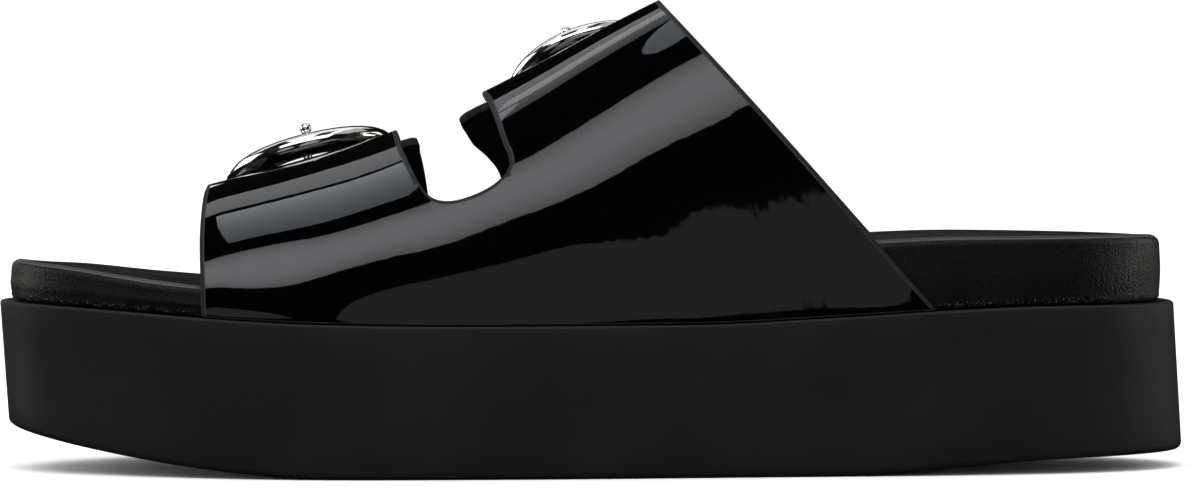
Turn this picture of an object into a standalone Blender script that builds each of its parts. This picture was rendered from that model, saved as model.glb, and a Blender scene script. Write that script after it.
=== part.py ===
"""Platform sandal for the right foot: a thick sole, a padded footbed, a two-strap upper and two ring buckles.

The toe points to -X, the medial side of the foot is -Y and the sole stands on Z = 0.
Sizes are in millimetres and become metres where a mesh is made.
"""

from bisect import bisect_right
from collections import namedtuple
from math import cos, hypot, pi, sin, sqrt

import bmesh
import bpy
import numpy as np
from mathutils import Vector

MM = 0.001
SEAT_GAP = 0.3
PANEL_GAP = 0.7

# Sole: plan of its top edge, one row per section, and its side profile along the centre.
PlanRow = namedtuple("PlanRow", "x medial lateral")
TOE_TIP = (-132.9, -8.0)
HEEL_TIP = (131.8, 2.0)
SOLE_PLAN = [
    PlanRow(-131.1, -16.6, 0.8),
    PlanRow(-127.0, -23.4, 9.2),
    PlanRow(-119.8, -29.4, 18.4),
    PlanRow(-110.0, -34.4, 26.6),
    PlanRow(-97.0, -39.8, 34.6),
    PlanRow(-80.0, -44.6, 41.2),
    PlanRow(-58.0, -47.6, 45.6),
    PlanRow(-32.0, -47.0, 48.0),
    PlanRow(-5.0, -44.6, 47.2),
    PlanRow(25.0, -40.6, 44.2),
    PlanRow(55.0, -36.6, 40.2),
    PlanRow(82.0, -33.4, 36.6),
    PlanRow(102.0, -29.0, 32.4),
    PlanRow(117.0, -22.4, 26.0),
    PlanRow(127.0, -13.4, 17.2),
    PlanRow(130.7, -6.2, 10.0),
]
SideRow = namedtuple("SideRow", "x under top")
SOLE_SIDE = [
    SideRow(-132.0, 9.8, 38.0),
    SideRow(-118.0, 6.8, 37.5),
    SideRow(-104.0, 4.3, 36.7),
    SideRow(-90.0, 2.3, 35.8),
    SideRow(-76.0, 0.9, 35.0),
    SideRow(-62.0, 0.0, 34.4),
    SideRow(-24.0, 0.0, 33.9),
    SideRow(24.0, 0.0, 34.0),
    SideRow(54.0, 0.0, 35.3),
    SideRow(78.0, 1.6, 36.6),
    SideRow(102.0, 3.2, 37.4),
    SideRow(133.0, 3.9, 37.2),
]
SOLE_LEAN = 2.0
SOLE_EDGE_ROUND = 1.6
SOLE_LIP_ROUND = 0.6

# Footbed: inset from the sole's edge, height of its rim and depth of its hollow.
RimRow = namedtuple("RimRow", "x inset rim hollow")
FOOTBED_SIDE = [
    RimRow(-131.0, 2.6, 46.4, 1.6),
    RimRow(-118.0, 2.7, 45.3, 1.9),
    RimRow(-97.0, 2.9, 42.5, 2.2),
    RimRow(-84.0, 2.9, 41.4, 2.4),
    RimRow(-50.0, 2.9, 41.1, 2.4),
    RimRow(-20.0, 2.9, 42.2, 2.6),
    RimRow(10.0, 2.9, 44.8, 3.4),
    RimRow(38.0, 2.9, 48.2, 5.0),
    RimRow(60.0, 2.9, 51.0, 6.4),
    RimRow(84.0, 3.0, 51.9, 7.0),
    RimRow(128.0, 3.2, 51.7, 6.6),
]
EdgeRow = namedtuple("EdgeRow", "inset drop")
FOOTBED_ROLL = [
    EdgeRow(0.0, 3.2),
    EdgeRow(0.4, 1.6),
    EdgeRow(1.2, 0.5),
    EdgeRow(2.4, 0.0),
    EdgeRow(4.4, 0.1),
    EdgeRow(6.4, 0.9),
]
HOLLOW_RUN = 22.0
HOLLOW_COLUMNS = (-0.92, -0.8, -0.6, -0.3, 0.0, 0.3, 0.6, 0.8, 0.92)
ARCH_RISE = 2.2
ARCH_CENTRE = 18.0
ARCH_REACH = 40.0

# Upper: two leather layers that share one arch, whose crest follows the instep.
LEATHER = 1.8
TAB_LAYER = 0.0
STRAP_LAYER = 1.2
UPPER_TOP = STRAP_LAYER + LEATHER
CrestRow = namedtuple("CrestRow", "x height offset")
UPPER_CREST = [
    CrestRow(-95.0, 61.2, -4.0),
    CrestRow(-86.7, 63.4, -4.0),
    CrestRow(-65.0, 69.1, -3.6),
    CrestRow(-44.0, 75.6, -3.2),
    CrestRow(-24.5, 84.0, -2.6),
    CrestRow(-10.5, 91.2, -2.2),
    CrestRow(0.0, 97.0, -2.0),
    CrestRow(16.4, 105.4, -2.0),
    CrestRow(40.0, 116.0, -1.6),
    CrestRow(90.0, 132.0, -1.0),
]
FRONT_EDGE = -85.8
EdgePoint = namedtuple("EdgePoint", "x z")
REAR_EDGE_TOP = EdgePoint(16.6, 105.6)
REAR_EDGE_FOOT = EdgePoint(76.8, 36.6)

# Cut-out between the straps on each side, as seen from that side.
Notch = namedtuple("Notch", "front floor rear")
MEDIAL_NOTCH = Notch(
    front=[EdgePoint(-37.8, 65.5), EdgePoint(-39.8, 69.7), EdgePoint(-41.5, 73.4), EdgePoint(-42.7, 76.0)],
    floor=[
        EdgePoint(-36.1, 63.1),
        EdgePoint(-34.0, 61.7),
        EdgePoint(-30.5, 61.4),
        EdgePoint(-25.2, 62.9),
        EdgePoint(-21.2, 65.0),
    ],
    rear=[
        EdgePoint(-18.5, 67.3),
        EdgePoint(-17.5, 69.4),
        EdgePoint(-17.8, 71.4),
        EdgePoint(-18.9, 74.0),
        EdgePoint(-23.2, 84.1),
    ],
)
LATERAL_NOTCH = Notch(
    front=[EdgePoint(-37.2, 60.0), EdgePoint(-37.9, 66.0), EdgePoint(-38.8, 71.5)],
    floor=[
        EdgePoint(-36.2, 57.0),
        EdgePoint(-33.2, 55.2),
        EdgePoint(-29.0, 55.0),
        EdgePoint(-24.8, 56.2),
        EdgePoint(-21.6, 58.8),
    ],
    rear=[
        EdgePoint(-20.0, 62.4),
        EdgePoint(-21.2, 66.2),
        EdgePoint(-23.4, 69.4),
        EdgePoint(-27.0, 73.2),
        EdgePoint(-29.2, 77.2),
    ],
)

# Strap ends: past the crest each strap narrows to a tongue that runs under its buckle.
Tongue = namedtuple("Tongue", "centre half_width shoulder_start shoulder_end length")
FRONT_TONGUE = Tongue(-62.6, 12.6, 0.5, 9.0, 54.0)
REAR_TONGUE = Tongue(0.0, 12.6, 4.0, 16.0, 68.0)
FRONT_TAB_END = 14.0
REAR_TAB_END = 12.0
TAB_CORNER = 4.0

# Buckles: a slightly curved ring that rests on the upper with its front and rear, and a prong with a ball tip.
Buckle = namedtuple("Buckle", "name centre across lift")
FRONT_BUCKLE = Buckle("front_buckle", -62.4, 25.0, 3.2)
REAR_BUCKLE = Buckle("rear_buckle", 1.2, 31.8, 3.1)
RING_BEND = 0.008
RING_RADIUS = 15.6
RING_HALF_WIDTH = 4.2
RING_HALF_HEIGHT = 2.45
PRONG_RADIUS = 1.0
PRONG_DIP = 0.1
BALL_RADIUS = 1.3

Finish = namedtuple("Finish", "colour roughness metallic")
RUBBER = Finish((0.012, 0.012, 0.013, 1.0), 0.62, 0.0)
PADDED_LEATHER = Finish((0.010, 0.010, 0.011, 1.0), 0.45, 0.0)
PATENT = Finish((0.004, 0.004, 0.005, 1.0), 0.06, 0.0)
POLISHED = Finish((0.80, 0.79, 0.77, 1.0), 0.08, 1.0)


class Curve:
    """Smooth curve through one column of a table, without overshoot between its rows."""

    def __init__(self, rows, column):
        self.xs = [row.x for row in rows]
        self.ys = [getattr(row, column) for row in rows]
        rises = [(b - a) / (d - c) for a, b, c, d in zip(self.ys, self.ys[1:], self.xs, self.xs[1:])]
        inner = [2 * p * q / (p + q) if p * q > 0 else 0.0 for p, q in zip(rises, rises[1:])]
        self.slopes = [rises[0]] + inner + [rises[-1]]

    def __call__(self, x):
        last = len(self.xs) - 2
        k = min(max(bisect_right(self.xs, x) - 1, 0), last)
        span = self.xs[k + 1] - self.xs[k]
        t = min(max((x - self.xs[k]) / span, 0.0), 1.0)
        start = (1 + 2 * t) * (1 - t) ** 2 * self.ys[k] + t * (1 - t) ** 2 * span * self.slopes[k]
        end = t * t * (3 - 2 * t) * self.ys[k + 1] + t * t * (t - 1) * span * self.slopes[k + 1]
        return start + end


sole_under = Curve(SOLE_SIDE, "under")
sole_top = Curve(SOLE_SIDE, "top")
footbed_inset = Curve(FOOTBED_SIDE, "inset")
footbed_rim = Curve(FOOTBED_SIDE, "rim")
footbed_hollow = Curve(FOOTBED_SIDE, "hollow")
crest_height = Curve(UPPER_CREST, "height")
crest_offset = Curve(UPPER_CREST, "offset")


def plan_outline(steps):
    """Closed smooth outline of the sole's top edge: toe tip, medial side, heel tip, lateral side."""
    medial = [(row.x, row.medial) for row in SOLE_PLAN]
    lateral = [(row.x, row.lateral) for row in reversed(SOLE_PLAN)]
    control = [Vector(p) for p in [TOE_TIP] + medial + [HEEL_TIP] + lateral]
    count = len(control)
    points = []
    for k in range(count):
        before, start, end, after = (control[(k + n) % count] for n in (-1, 0, 1, 2))
        knots = [0.0]
        for a, b in ((before, start), (start, end), (end, after)):
            knots.append(knots[-1] + sqrt((b - a).length))
        t0, t1, t2, t3 = knots
        for step in range(steps):
            t = t1 + (t2 - t1) * step / steps
            a1 = before.lerp(start, (t - t0) / (t1 - t0))
            a2 = start.lerp(end, (t - t1) / (t2 - t1))
            a3 = end.lerp(after, (t - t2) / (t3 - t2))
            b1 = a1.lerp(a2, (t - t0) / (t2 - t0))
            b2 = a2.lerp(a3, (t - t1) / (t3 - t1))
            points.append(b1.lerp(b2, (t - t1) / (t2 - t1)))
    return points


def inset_loop(points, distance):
    """Points moved inwards by distance(x) along the outline's normals."""
    moved = []
    for k, point in enumerate(points):
        along = (points[(k + 1) % len(points)] - points[k - 1]).normalized()
        moved.append(point + Vector((-along.y, along.x)) * distance(point.x))
    return moved


def new_object(name, mesh, finish, collection):
    """Adds a mesh object with its own material to a collection."""
    obj = bpy.data.objects.new(name, mesh)
    material = bpy.data.materials.new(name)
    material.use_nodes = True
    shader = material.node_tree.nodes["Principled BSDF"]
    shader.inputs["Base Color"].default_value = finish.colour
    shader.inputs["Roughness"].default_value = finish.roughness
    shader.inputs["Metallic"].default_value = finish.metallic
    material.diffuse_color = finish.colour
    mesh.materials.append(material)
    collection.objects.link(obj)
    return obj


def loft_solid(name, loops, lower_cap, upper_cap):
    """Closed mesh skinned over loops; each cap lists the heights across it from medial to lateral edge."""
    bm = bmesh.new()
    rings = [[bm.verts.new(Vector(p) * MM) for p in loop] for loop in loops]
    count = len(loops[0])
    for ring, following in zip(rings, rings[1:]):
        for k in range(count):
            n = (k + 1) % count
            bm.faces.new((ring[k], ring[n], following[n], following[k]))
    for ring, cap in ((rings[0], lower_cap), (rings[-1], upper_cap)):
        rows = []
        for k in range(1, count // 2):
            near, far = ring[k], ring[count - k]
            middle = [bm.verts.new(Vector(p) * MM) for p in cap(near.co / MM, far.co / MM)]
            rows.append([near] + middle + [far])
        for end, row in ((ring[0], rows[0]), (ring[count // 2], rows[-1])):
            for a, b in zip(row, row[1:]):
                bm.faces.new((end, a, b))
        for row, following in zip(rows, rows[1:]):
            for a, b, c, d in zip(row, row[1:], following[1:], following):
                bm.faces.new((a, b, c, d))
    bmesh.ops.recalc_face_normals(bm, faces=bm.faces)
    mesh = bpy.data.meshes.new(name)
    bm.to_mesh(mesh)
    bm.free()
    mesh.shade_smooth()
    mesh.set_sharp_from_angle(angle=0.7)
    return mesh


def flat_cap(near, far):
    """A cap with no rows between its two edges."""
    return []


def build_sole(collection):
    """The platform: toe spring, flat tread, raised heel edge and end walls that lean forward."""
    outline = plan_outline(2)

    def level(inset, lift):
        loop = inset_loop(outline, lambda x: inset)
        low = [Vector((p.x, p.y, sole_under(p.x))) for p in loop]
        high = [Vector((p.x, p.y, sole_top(p.x))) for p in loop]
        points = [lift(a, b) for a, b in zip(low, high)]
        shares = [(b.z - p.z) / (b.z - a.z) for p, a, b in zip(points, low, high)]
        return [p + Vector((SOLE_LEAN * share, 0, 0)) for p, share in zip(points, shares)]

    def above(height):
        return lambda low, high: low + Vector((0, 0, height))

    def below(depth):
        return lambda low, high: high - Vector((0, 0, depth))

    loops = [
        level(SOLE_EDGE_ROUND, above(0.0)),
        level(SOLE_EDGE_ROUND * 0.3, above(SOLE_EDGE_ROUND * 0.3)),
        level(0.0, above(SOLE_EDGE_ROUND)),
        level(0.0, below(SOLE_LIP_ROUND)),
        level(SOLE_LIP_ROUND, below(0.0)),
    ]
    mesh = loft_solid("platform_sole", loops, flat_cap, flat_cap)
    return new_object("platform_sole", mesh, RUBBER, collection)


def footbed_height(x, across, half_width):
    """Top of the footbed; across runs from -1 at the medial edge of its hollow to 1 at the lateral edge."""
    from_side = half_width * (1 - abs(across))
    from_end = min(x - TOE_TIP[0], HEEL_TIP[0] - x) - FOOTBED_ROLL[-1].inset
    depth = 1 / sqrt(1 / from_side ** 2 + 1 / from_end ** 2)
    reach = min(depth / HOLLOW_RUN, 1.0)
    hollow = (footbed_hollow(x) - FOOTBED_ROLL[-1].drop) * (1 - (1 - reach) ** 2)
    bump = max(0.0, 1 - ((x - ARCH_CENTRE) / ARCH_REACH) ** 2)
    rise = ARCH_RISE * bump ** 2 * sin(pi * min(max(-across, 0.0), 1.0)) ** 2
    return footbed_rim(x) - FOOTBED_ROLL[-1].drop - hollow + rise


def build_footbed(collection):
    """The padded footbed: an upright side, a rolled rim and a foot-shaped hollow."""
    outline = inset_loop(plan_outline(2), footbed_inset)

    def side(inset, height):
        return [(p.x, p.y, height(p.x)) for p in inset_loop(outline, lambda x: inset)]

    def hollow_cap(near, far):
        half = (far - near).length / 2
        across = [near.lerp(far, (step + 1) / 2) for step in HOLLOW_COLUMNS]
        return [(p.x, p.y, footbed_height(p.x, step, half)) for p, step in zip(across, HOLLOW_COLUMNS)]

    loops = [
        side(0.8, lambda x: sole_top(x) + SEAT_GAP),
        side(0.0, lambda x: sole_top(x) + SEAT_GAP + 0.9),
    ]
    for row in FOOTBED_ROLL:
        loops.append(side(row.inset, lambda x, drop=row.drop: footbed_rim(x) - drop))
    mesh = loft_solid("footbed", loops, flat_cap, hollow_cap)
    return new_object("footbed", mesh, PADDED_LEATHER, collection)


class Arch:
    """The surface that both leather layers follow: an elliptic arch at every section of the foot.

    A position on it is x along the foot and turn, which runs from -1 at the medial foot of the arch
    over 0 at the crest to 1 at the lateral foot.
    """

    def __init__(self):
        outline = inset_loop(plan_outline(12), footbed_inset)
        half = len(outline) // 2
        self.medial = sorted((p.x, p.y - PANEL_GAP + STRAP_LAYER) for p in outline[2:half - 1])
        self.lateral = sorted((p.x, p.y + PANEL_GAP - TAB_LAYER) for p in outline[half + 2:-1])

    def base(self, x, turn):
        crest = crest_offset(x)
        edge = self.lateral if turn > 0 else self.medial
        reach = abs(np.interp(x, [p[0] for p in edge], [p[1] for p in edge]) - crest)
        foot = sole_top(x) + SEAT_GAP
        angle = turn * pi / 2
        rise = crest_height(x) - UPPER_TOP - foot
        return Vector((x, crest + reach * sin(angle), foot + rise * cos(angle)))

    def normal(self, x, turn):
        along = self.base(x + 0.6, turn) - self.base(x - 0.6, turn)
        across = self.base(x, turn + 0.01) - self.base(x, turn - 0.01)
        return along.cross(across).normalized()

    def point(self, x, turn, height):
        return self.base(x, turn) + self.normal(x, turn) * height

    def turn_at_height(self, x, z, side, height):
        """Turn on one side where the layer's outer face is at height z."""
        low, high = 0.0, 1.0
        for _ in range(30):
            middle = (low + high) / 2
            if self.point(x, side * middle, height).z > z:
                low = middle
            else:
                high = middle
        return (low + high) / 2

    def arc(self, x, distance):
        """Turn on the lateral side at a distance from the crest, measured along the section."""
        turns = np.linspace(0.0, 1.0, 41)
        points = [self.base(x, t) for t in turns]
        lengths = [0.0]
        for a, b in zip(points, points[1:]):
            lengths.append(lengths[-1] + (b - a).length)
        if distance < 0:
            return distance / lengths[-1] * 1.05
        return float(np.interp(distance, lengths, turns))


def smooth_step(start, end, value):
    t = min(max((value - start) / (end - start), 0.0), 1.0)
    return t * t * (3 - 2 * t)


class Panel:
    """One leather layer: a side panel that parts into two straps above a notch.

    Positions on it are x and climb, which is 0 at the panel's foot, 1 on the crest and more beyond it.
    """

    FRONT_COLUMNS = 9
    REAR_COLUMNS = 10
    LOWER_ROWS = 10
    CLIMB_ROWS = 8

    def __init__(self, arch, side, layer, notch):
        self.arch = arch
        self.side = side
        self.face = layer + LEATHER
        self.layer = layer
        self.front = [(p.x, self.climb(p)) for p in notch.front]
        self.floor = [(p.x, self.climb(p)) for p in notch.floor]
        self.rear = [(p.x, self.climb(p)) for p in notch.rear]

    def climb(self, point):
        return 1 - self.arch.turn_at_height(point.x, point.z, self.side, self.face)

    def surface(self, x, climb):
        return self.arch.point(x, self.side * (1 - climb), self.layer)

    def rear_edge(self, climb):
        """Where the straight slanting rear edge crosses a climb."""
        low, high = 5.0, 85.0
        turn = self.side * (1 - min(climb, 1.0))
        for _ in range(30):
            x = (low + high) / 2
            share = (x - REAR_EDGE_TOP.x) / (REAR_EDGE_FOOT.x - REAR_EDGE_TOP.x)
            line = REAR_EDGE_TOP.z + share * (REAR_EDGE_FOOT.z - REAR_EDGE_TOP.z)
            drop = UPPER_TOP - self.face
            if self.arch.point(x, turn, self.face).z > line - drop * climb:
                high = x
            else:
                low = x
        return (low + high) / 2

    def front_span(self, climb):
        climbs = [p[1] for p in self.front]
        return FRONT_EDGE, float(np.interp(climb, climbs, [p[0] for p in self.front]))

    def rear_span(self, climb):
        climbs = [p[1] for p in self.rear]
        return float(np.interp(climb, climbs, [p[0] for p in self.rear])), self.rear_edge(climb)

    def lower_rows(self):
        """Rows from the foot up to the line through the notch floor; columns fan out behind the notch."""
        start, end = self.front[0], self.rear[0]
        upright = [(x, start[1]) for x in np.linspace(FRONT_EDGE, start[0], self.FRONT_COLUMNS + 1)]
        upright += self.floor
        rows = []
        for t in np.linspace(0, 1, self.LOWER_ROWS + 1):
            row = [(x, t * top) for x, top in upright]
            rear = np.linspace(end[0], self.rear_edge(t * end[1]), self.REAR_COLUMNS + 1)
            rows.append(row + [(x, t * end[1]) for x in rear])
        return rows

    def strap_rows(self, span, start, columns, ends):
        """Rows from the notch line to the crest, then on through the climbs and spans of the strap's end."""
        rows = []
        for climb in np.linspace(start, 1, self.CLIMB_ROWS + 1)[1:]:
            if climb > ends[0][0] - 0.02:
                break
            rows.append([(x, climb) for x in np.linspace(*span(climb), columns + 1)])
        for climb, low, high in ends:
            rows.append([(x, climb) for x in np.linspace(low, high, columns + 1)])
        return rows

    def mesh(self, name, front_end, rear_end):
        """Open surface of the layer's inner face."""
        bm = bmesh.new()

        def row_of(points):
            return [bm.verts.new(self.surface(*p) * MM) for p in points]

        def fill(row, following):
            for a, b, c, d in zip(row, row[1:], following[1:], following):
                bm.faces.new((a, b, c, d))

        lower = [row_of(points) for points in self.lower_rows()]
        for row, following in zip(lower, lower[1:]):
            fill(row, following)
        split = lower[-1]
        straps = (
            (self.front_span, self.front[0][1], front_end, split[:self.FRONT_COLUMNS + 1]),
            (self.rear_span, self.rear[0][1], rear_end, split[-self.REAR_COLUMNS - 1:]),
        )
        for span, start, ends, row in straps:
            for points in self.strap_rows(span, start, len(row) - 1, ends):
                following = row_of(points)
                fill(row, following)
                row = following
        bmesh.ops.recalc_face_normals(bm, faces=bm.faces)
        bm.normal_update()
        probe = min(bm.faces, key=lambda f: f.calc_center_median().z)
        if probe.normal.y * self.side < 0:
            bmesh.ops.reverse_faces(bm, faces=bm.faces)
        mesh = bpy.data.meshes.new(name)
        bm.to_mesh(mesh)
        bm.free()
        return mesh


def tongue_ends(panel, span, tongue):
    """Climbs and spans of a strap past the crest: full width, shoulders, tongue and rounded tip."""
    low, high = span(1.0)
    tip = tongue.length - tongue.half_width
    distances = list(np.linspace(1.5, tongue.shoulder_end, 5))
    distances += list(np.linspace(tongue.shoulder_end, tip, 7)[1:])
    distances += [tip + tongue.half_width * share for share in (0.35, 0.62, 0.82, 0.94)]
    ends = []
    for distance in distances:
        taper = smooth_step(tongue.shoulder_start, tongue.shoulder_end, distance)
        past = max(0.0, (distance - tip) / tongue.half_width)
        half = tongue.half_width * sqrt(1 - past * past)
        climb = 1 + panel.arch.arc(tongue.centre, distance)
        start = low + taper * (tongue.centre - half - low)
        end = high + taper * (tongue.centre + half - high)
        ends.append((climb, start, end))
    return ends


def tab_ends(panel, span, centre, end):
    """Climbs and spans of a tab that stops short of the crest with rounded corners."""
    ends = []
    for share in (1.0, 0.72, 0.45, 0.2, 0.05):
        climb = 1 - panel.arch.arc(centre, end + TAB_CORNER * share)
        low, high = span(climb)
        cut = TAB_CORNER * (1 - sqrt(1 - (1 - share) ** 2))
        ends.append((climb, low + cut, high - cut))
    return ends


def add_solidify(obj):
    shell = obj.modifiers.new("leather", "SOLIDIFY")
    shell.thickness = LEATHER * MM
    shell.offset = 1.0
    shell.use_even_offset = True
    shell.use_rim = True


def build_upper(arch, collection, cutters):
    """The upper: medial panel with both straps, joined to the lateral panel's tabs that run under them."""
    medial = Panel(arch, -1, STRAP_LAYER, MEDIAL_NOTCH)
    lateral = Panel(arch, 1, TAB_LAYER, LATERAL_NOTCH)
    straps = medial.mesh(
        "upper",
        tongue_ends(medial, medial.front_span, FRONT_TONGUE),
        tongue_ends(medial, medial.rear_span, REAR_TONGUE),
    )
    tabs = lateral.mesh(
        "lateral_tabs",
        tab_ends(lateral, lateral.front_span, FRONT_TONGUE.centre, FRONT_TAB_END),
        tab_ends(lateral, lateral.rear_span, REAR_TONGUE.centre, REAR_TAB_END),
    )
    upper = new_object("upper", straps, PATENT, collection)
    layer = new_object("lateral_tabs", tabs, PATENT, cutters)
    layer.hide_render = True
    layer.display_type = "WIRE"
    add_solidify(upper)
    add_solidify(layer)
    join = upper.modifiers.new("crossing", "BOOLEAN")
    join.operation = "UNION"
    join.solver = "EXACT"
    join.object = layer
    return upper


class BuckleSeat:
    """Frame of a rigid buckle that lies on the arch at the buckle's centre."""

    def __init__(self, arch, buckle):
        self.buckle = buckle
        turn = arch.arc(buckle.centre, buckle.across)
        self.up = arch.normal(buckle.centre, turn)
        self.centre = arch.point(buckle.centre, turn, buckle.lift)
        self.along = (arch.base(buckle.centre + 0.6, turn) - arch.base(buckle.centre - 0.6, turn)).normalized()
        self.across = self.up.cross(self.along)

    def place(self, along, across, height):
        drop = RING_BEND * across * across / 2
        return self.centre + self.along * along + self.across * across + self.up * (height - drop)


def build_ring(seat, collection):
    """Domed ring of a buckle, a little curved across the strap."""
    bpy.ops.mesh.primitive_torus_add(
        major_segments=36,
        minor_segments=10,
        major_radius=RING_RADIUS * MM,
        minor_radius=RING_HALF_HEIGHT * MM,
    )
    torus = bpy.context.object
    mesh = torus.data.copy()
    bpy.data.objects.remove(torus)
    for vertex in mesh.vertices:
        local = vertex.co / MM
        radius = hypot(local.x, local.y)
        wide = RING_RADIUS + (radius - RING_RADIUS) * RING_HALF_WIDTH / RING_HALF_HEIGHT
        along, across = local.x * wide / radius, local.y * wide / radius
        vertex.co = seat.place(along, across, RING_HALF_HEIGHT + local.z) * MM
    mesh.shade_smooth()
    mesh.materials.clear()
    return new_object(seat.buckle.name + "_ring", mesh, POLISHED, collection)


def build_prong(seat, collection, cutters):
    """Prong that hooks over the ring's lateral side, crosses it and rests its ball on the medial side."""
    name = seat.buckle.name + "_prong"
    clear = PRONG_RADIUS + SEAT_GAP
    top = 2 * RING_HALF_HEIGHT + clear
    path = []
    for step in range(6):
        angle = pi * step / 10
        across = RING_RADIUS + (RING_HALF_WIDTH + clear) * cos(angle)
        path.append((0.0, across, RING_HALF_HEIGHT + (RING_HALF_HEIGHT + clear) * sin(angle)))
    reach = RING_RADIUS - SEAT_GAP
    for share in (0.2, 0.4, 0.6, 0.8, 1.0):
        path.append((0.0, RING_RADIUS - (RING_RADIUS + reach) * share, top - PRONG_DIP * share))
    curve = bpy.data.curves.new(name, "CURVE")
    curve.dimensions = "3D"
    curve.bevel_depth = PRONG_RADIUS * MM
    curve.bevel_resolution = 2
    curve.use_fill_caps = True
    spline = curve.splines.new("POLY")
    spline.points.add(len(path) - 1)
    for point, local in zip(spline.points, path):
        point.co = (*(seat.place(*local) * MM), 1.0)
    wire = bpy.data.objects.new(name + "_wire", curve)
    cutters.objects.link(wire)
    evaluated = wire.evaluated_get(bpy.context.evaluated_depsgraph_get())
    mesh = bpy.data.meshes.new_from_object(evaluated)
    bpy.data.objects.remove(wire)
    bm = bmesh.new()
    bm.from_mesh(mesh)
    bmesh.ops.remove_doubles(bm, verts=bm.verts, dist=0.00001)
    bmesh.ops.recalc_face_normals(bm, faces=bm.faces)
    bm.to_mesh(mesh)
    bm.free()
    mesh.materials.clear()
    prong = new_object(name, mesh, POLISHED, collection)
    bpy.ops.mesh.primitive_uv_sphere_add(
        segments=14,
        ring_count=9,
        radius=BALL_RADIUS * MM,
        location=seat.place(0.0, -reach, top - PRONG_DIP + BALL_RADIUS - PRONG_RADIUS) * MM,
    )
    ball = bpy.context.object
    ball.name = name + "_ball"
    for holder in list(ball.users_collection):
        holder.objects.unlink(ball)
    cutters.objects.link(ball)
    ball.hide_render = True
    ball.display_type = "WIRE"
    join = prong.modifiers.new("ball", "BOOLEAN")
    join.operation = "UNION"
    join.solver = "EXACT"
    join.object = ball
    return prong


def main():
    for obj in list(bpy.data.objects):
        bpy.data.objects.remove(obj)
    sandal = bpy.data.collections.new("platform_sandal")
    cutters = bpy.data.collections.new("joined_shapes")
    for collection in (sandal, cutters):
        bpy.context.scene.collection.children.link(collection)
    arch = Arch()
    pieces = [build_sole(sandal), build_footbed(sandal), build_upper(arch, sandal, cutters)]
    for buckle in (FRONT_BUCKLE, REAR_BUCKLE):
        seat = BuckleSeat(arch, buckle)
        pieces += [build_ring(seat, sandal), build_prong(seat, sandal, cutters)]
    origin = bpy.data.objects.new("sandal_origin", None)
    sandal.objects.link(origin)
    for piece in pieces:
        piece.parent = origin


main()
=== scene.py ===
"""Finished look of a platform sandal for the right foot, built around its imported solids.

The toe points to -X, the medial side of the foot is -Y and the sole stands on Z = 0.
Sizes are in millimetres and become metres where a mesh is made.
"""

import logging
from bisect import bisect_right
from dataclasses import dataclass
from enum import Enum
from math import copysign, cos, pi, radians, sin, sqrt
from typing import Callable, NamedTuple, Optional, Sequence, Union

import bmesh
import bpy
import numpy as np
from bmesh.types import BMEdge, BMesh, BMFace, BMVert
from bpy.types import ID, Light, Material, Mesh, Node, NodeSocket, NodeTree, Object
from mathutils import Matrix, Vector


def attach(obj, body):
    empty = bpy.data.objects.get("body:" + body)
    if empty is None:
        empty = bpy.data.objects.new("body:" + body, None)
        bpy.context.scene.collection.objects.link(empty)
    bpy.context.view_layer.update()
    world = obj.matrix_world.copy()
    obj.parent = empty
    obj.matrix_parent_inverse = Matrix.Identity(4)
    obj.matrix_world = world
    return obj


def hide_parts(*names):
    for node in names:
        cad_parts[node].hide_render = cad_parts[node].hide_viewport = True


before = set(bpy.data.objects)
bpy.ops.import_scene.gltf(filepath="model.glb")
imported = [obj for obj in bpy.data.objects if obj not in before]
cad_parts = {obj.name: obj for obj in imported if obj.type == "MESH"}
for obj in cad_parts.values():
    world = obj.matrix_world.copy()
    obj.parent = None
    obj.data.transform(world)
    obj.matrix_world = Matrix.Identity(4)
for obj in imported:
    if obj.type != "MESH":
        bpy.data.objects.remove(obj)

LOG = logging.getLogger("platform_sandal")
MM = 0.001
WHITE = (1.0, 1.0, 1.0, 1.0)
Colour = tuple[float, float, float, float]
Pair = tuple[float, float]
Triple = tuple[float, float, float]
Shares = tuple[float, ...]
Rows = list[list[Pair]]
Span = Callable[[float], Pair]
Value = Union[NodeSocket, Sequence[float], float]


class Side(Enum):
    """Side of the foot that a panel of the upper rises from."""

    MEDIAL = -1
    LATERAL = 1


class Skin(Enum):
    """Material slot of a face of the upper."""

    OUTSIDE = 0
    LINING = 1
    CUT_EDGE = 2
    # Paler band beside the cut edge, a painted highlight.
    EDGE_HIGHLIGHT = 3


class PanelShape(Enum):
    """Outline of a light panel."""

    RECTANGLE = "RECTANGLE"
    ELLIPSE = "ELLIPSE"


class Pattern(Enum):
    """A shared effect, by the name of its node group."""

    GRAIN = "leather_grain"
    RIPPLE = "soft_ripple"
    WRINKLES = "wrinkles"
    HANDLING = "handling"
    SPECKS = "specks"


class Mask(Enum):
    """What spreads a second colour over a finish: random handling marks, painted shade in grain creases, a
    painted highlight along seams and the sole's lip, and bright specks painted as glints; the last two are
    painted on the mesh.
    """

    MARKS = "marks"
    CREASES = "creases"
    LINES = "lines"
    CRUMBS = "crumbs"


# Curves and tables


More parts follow.
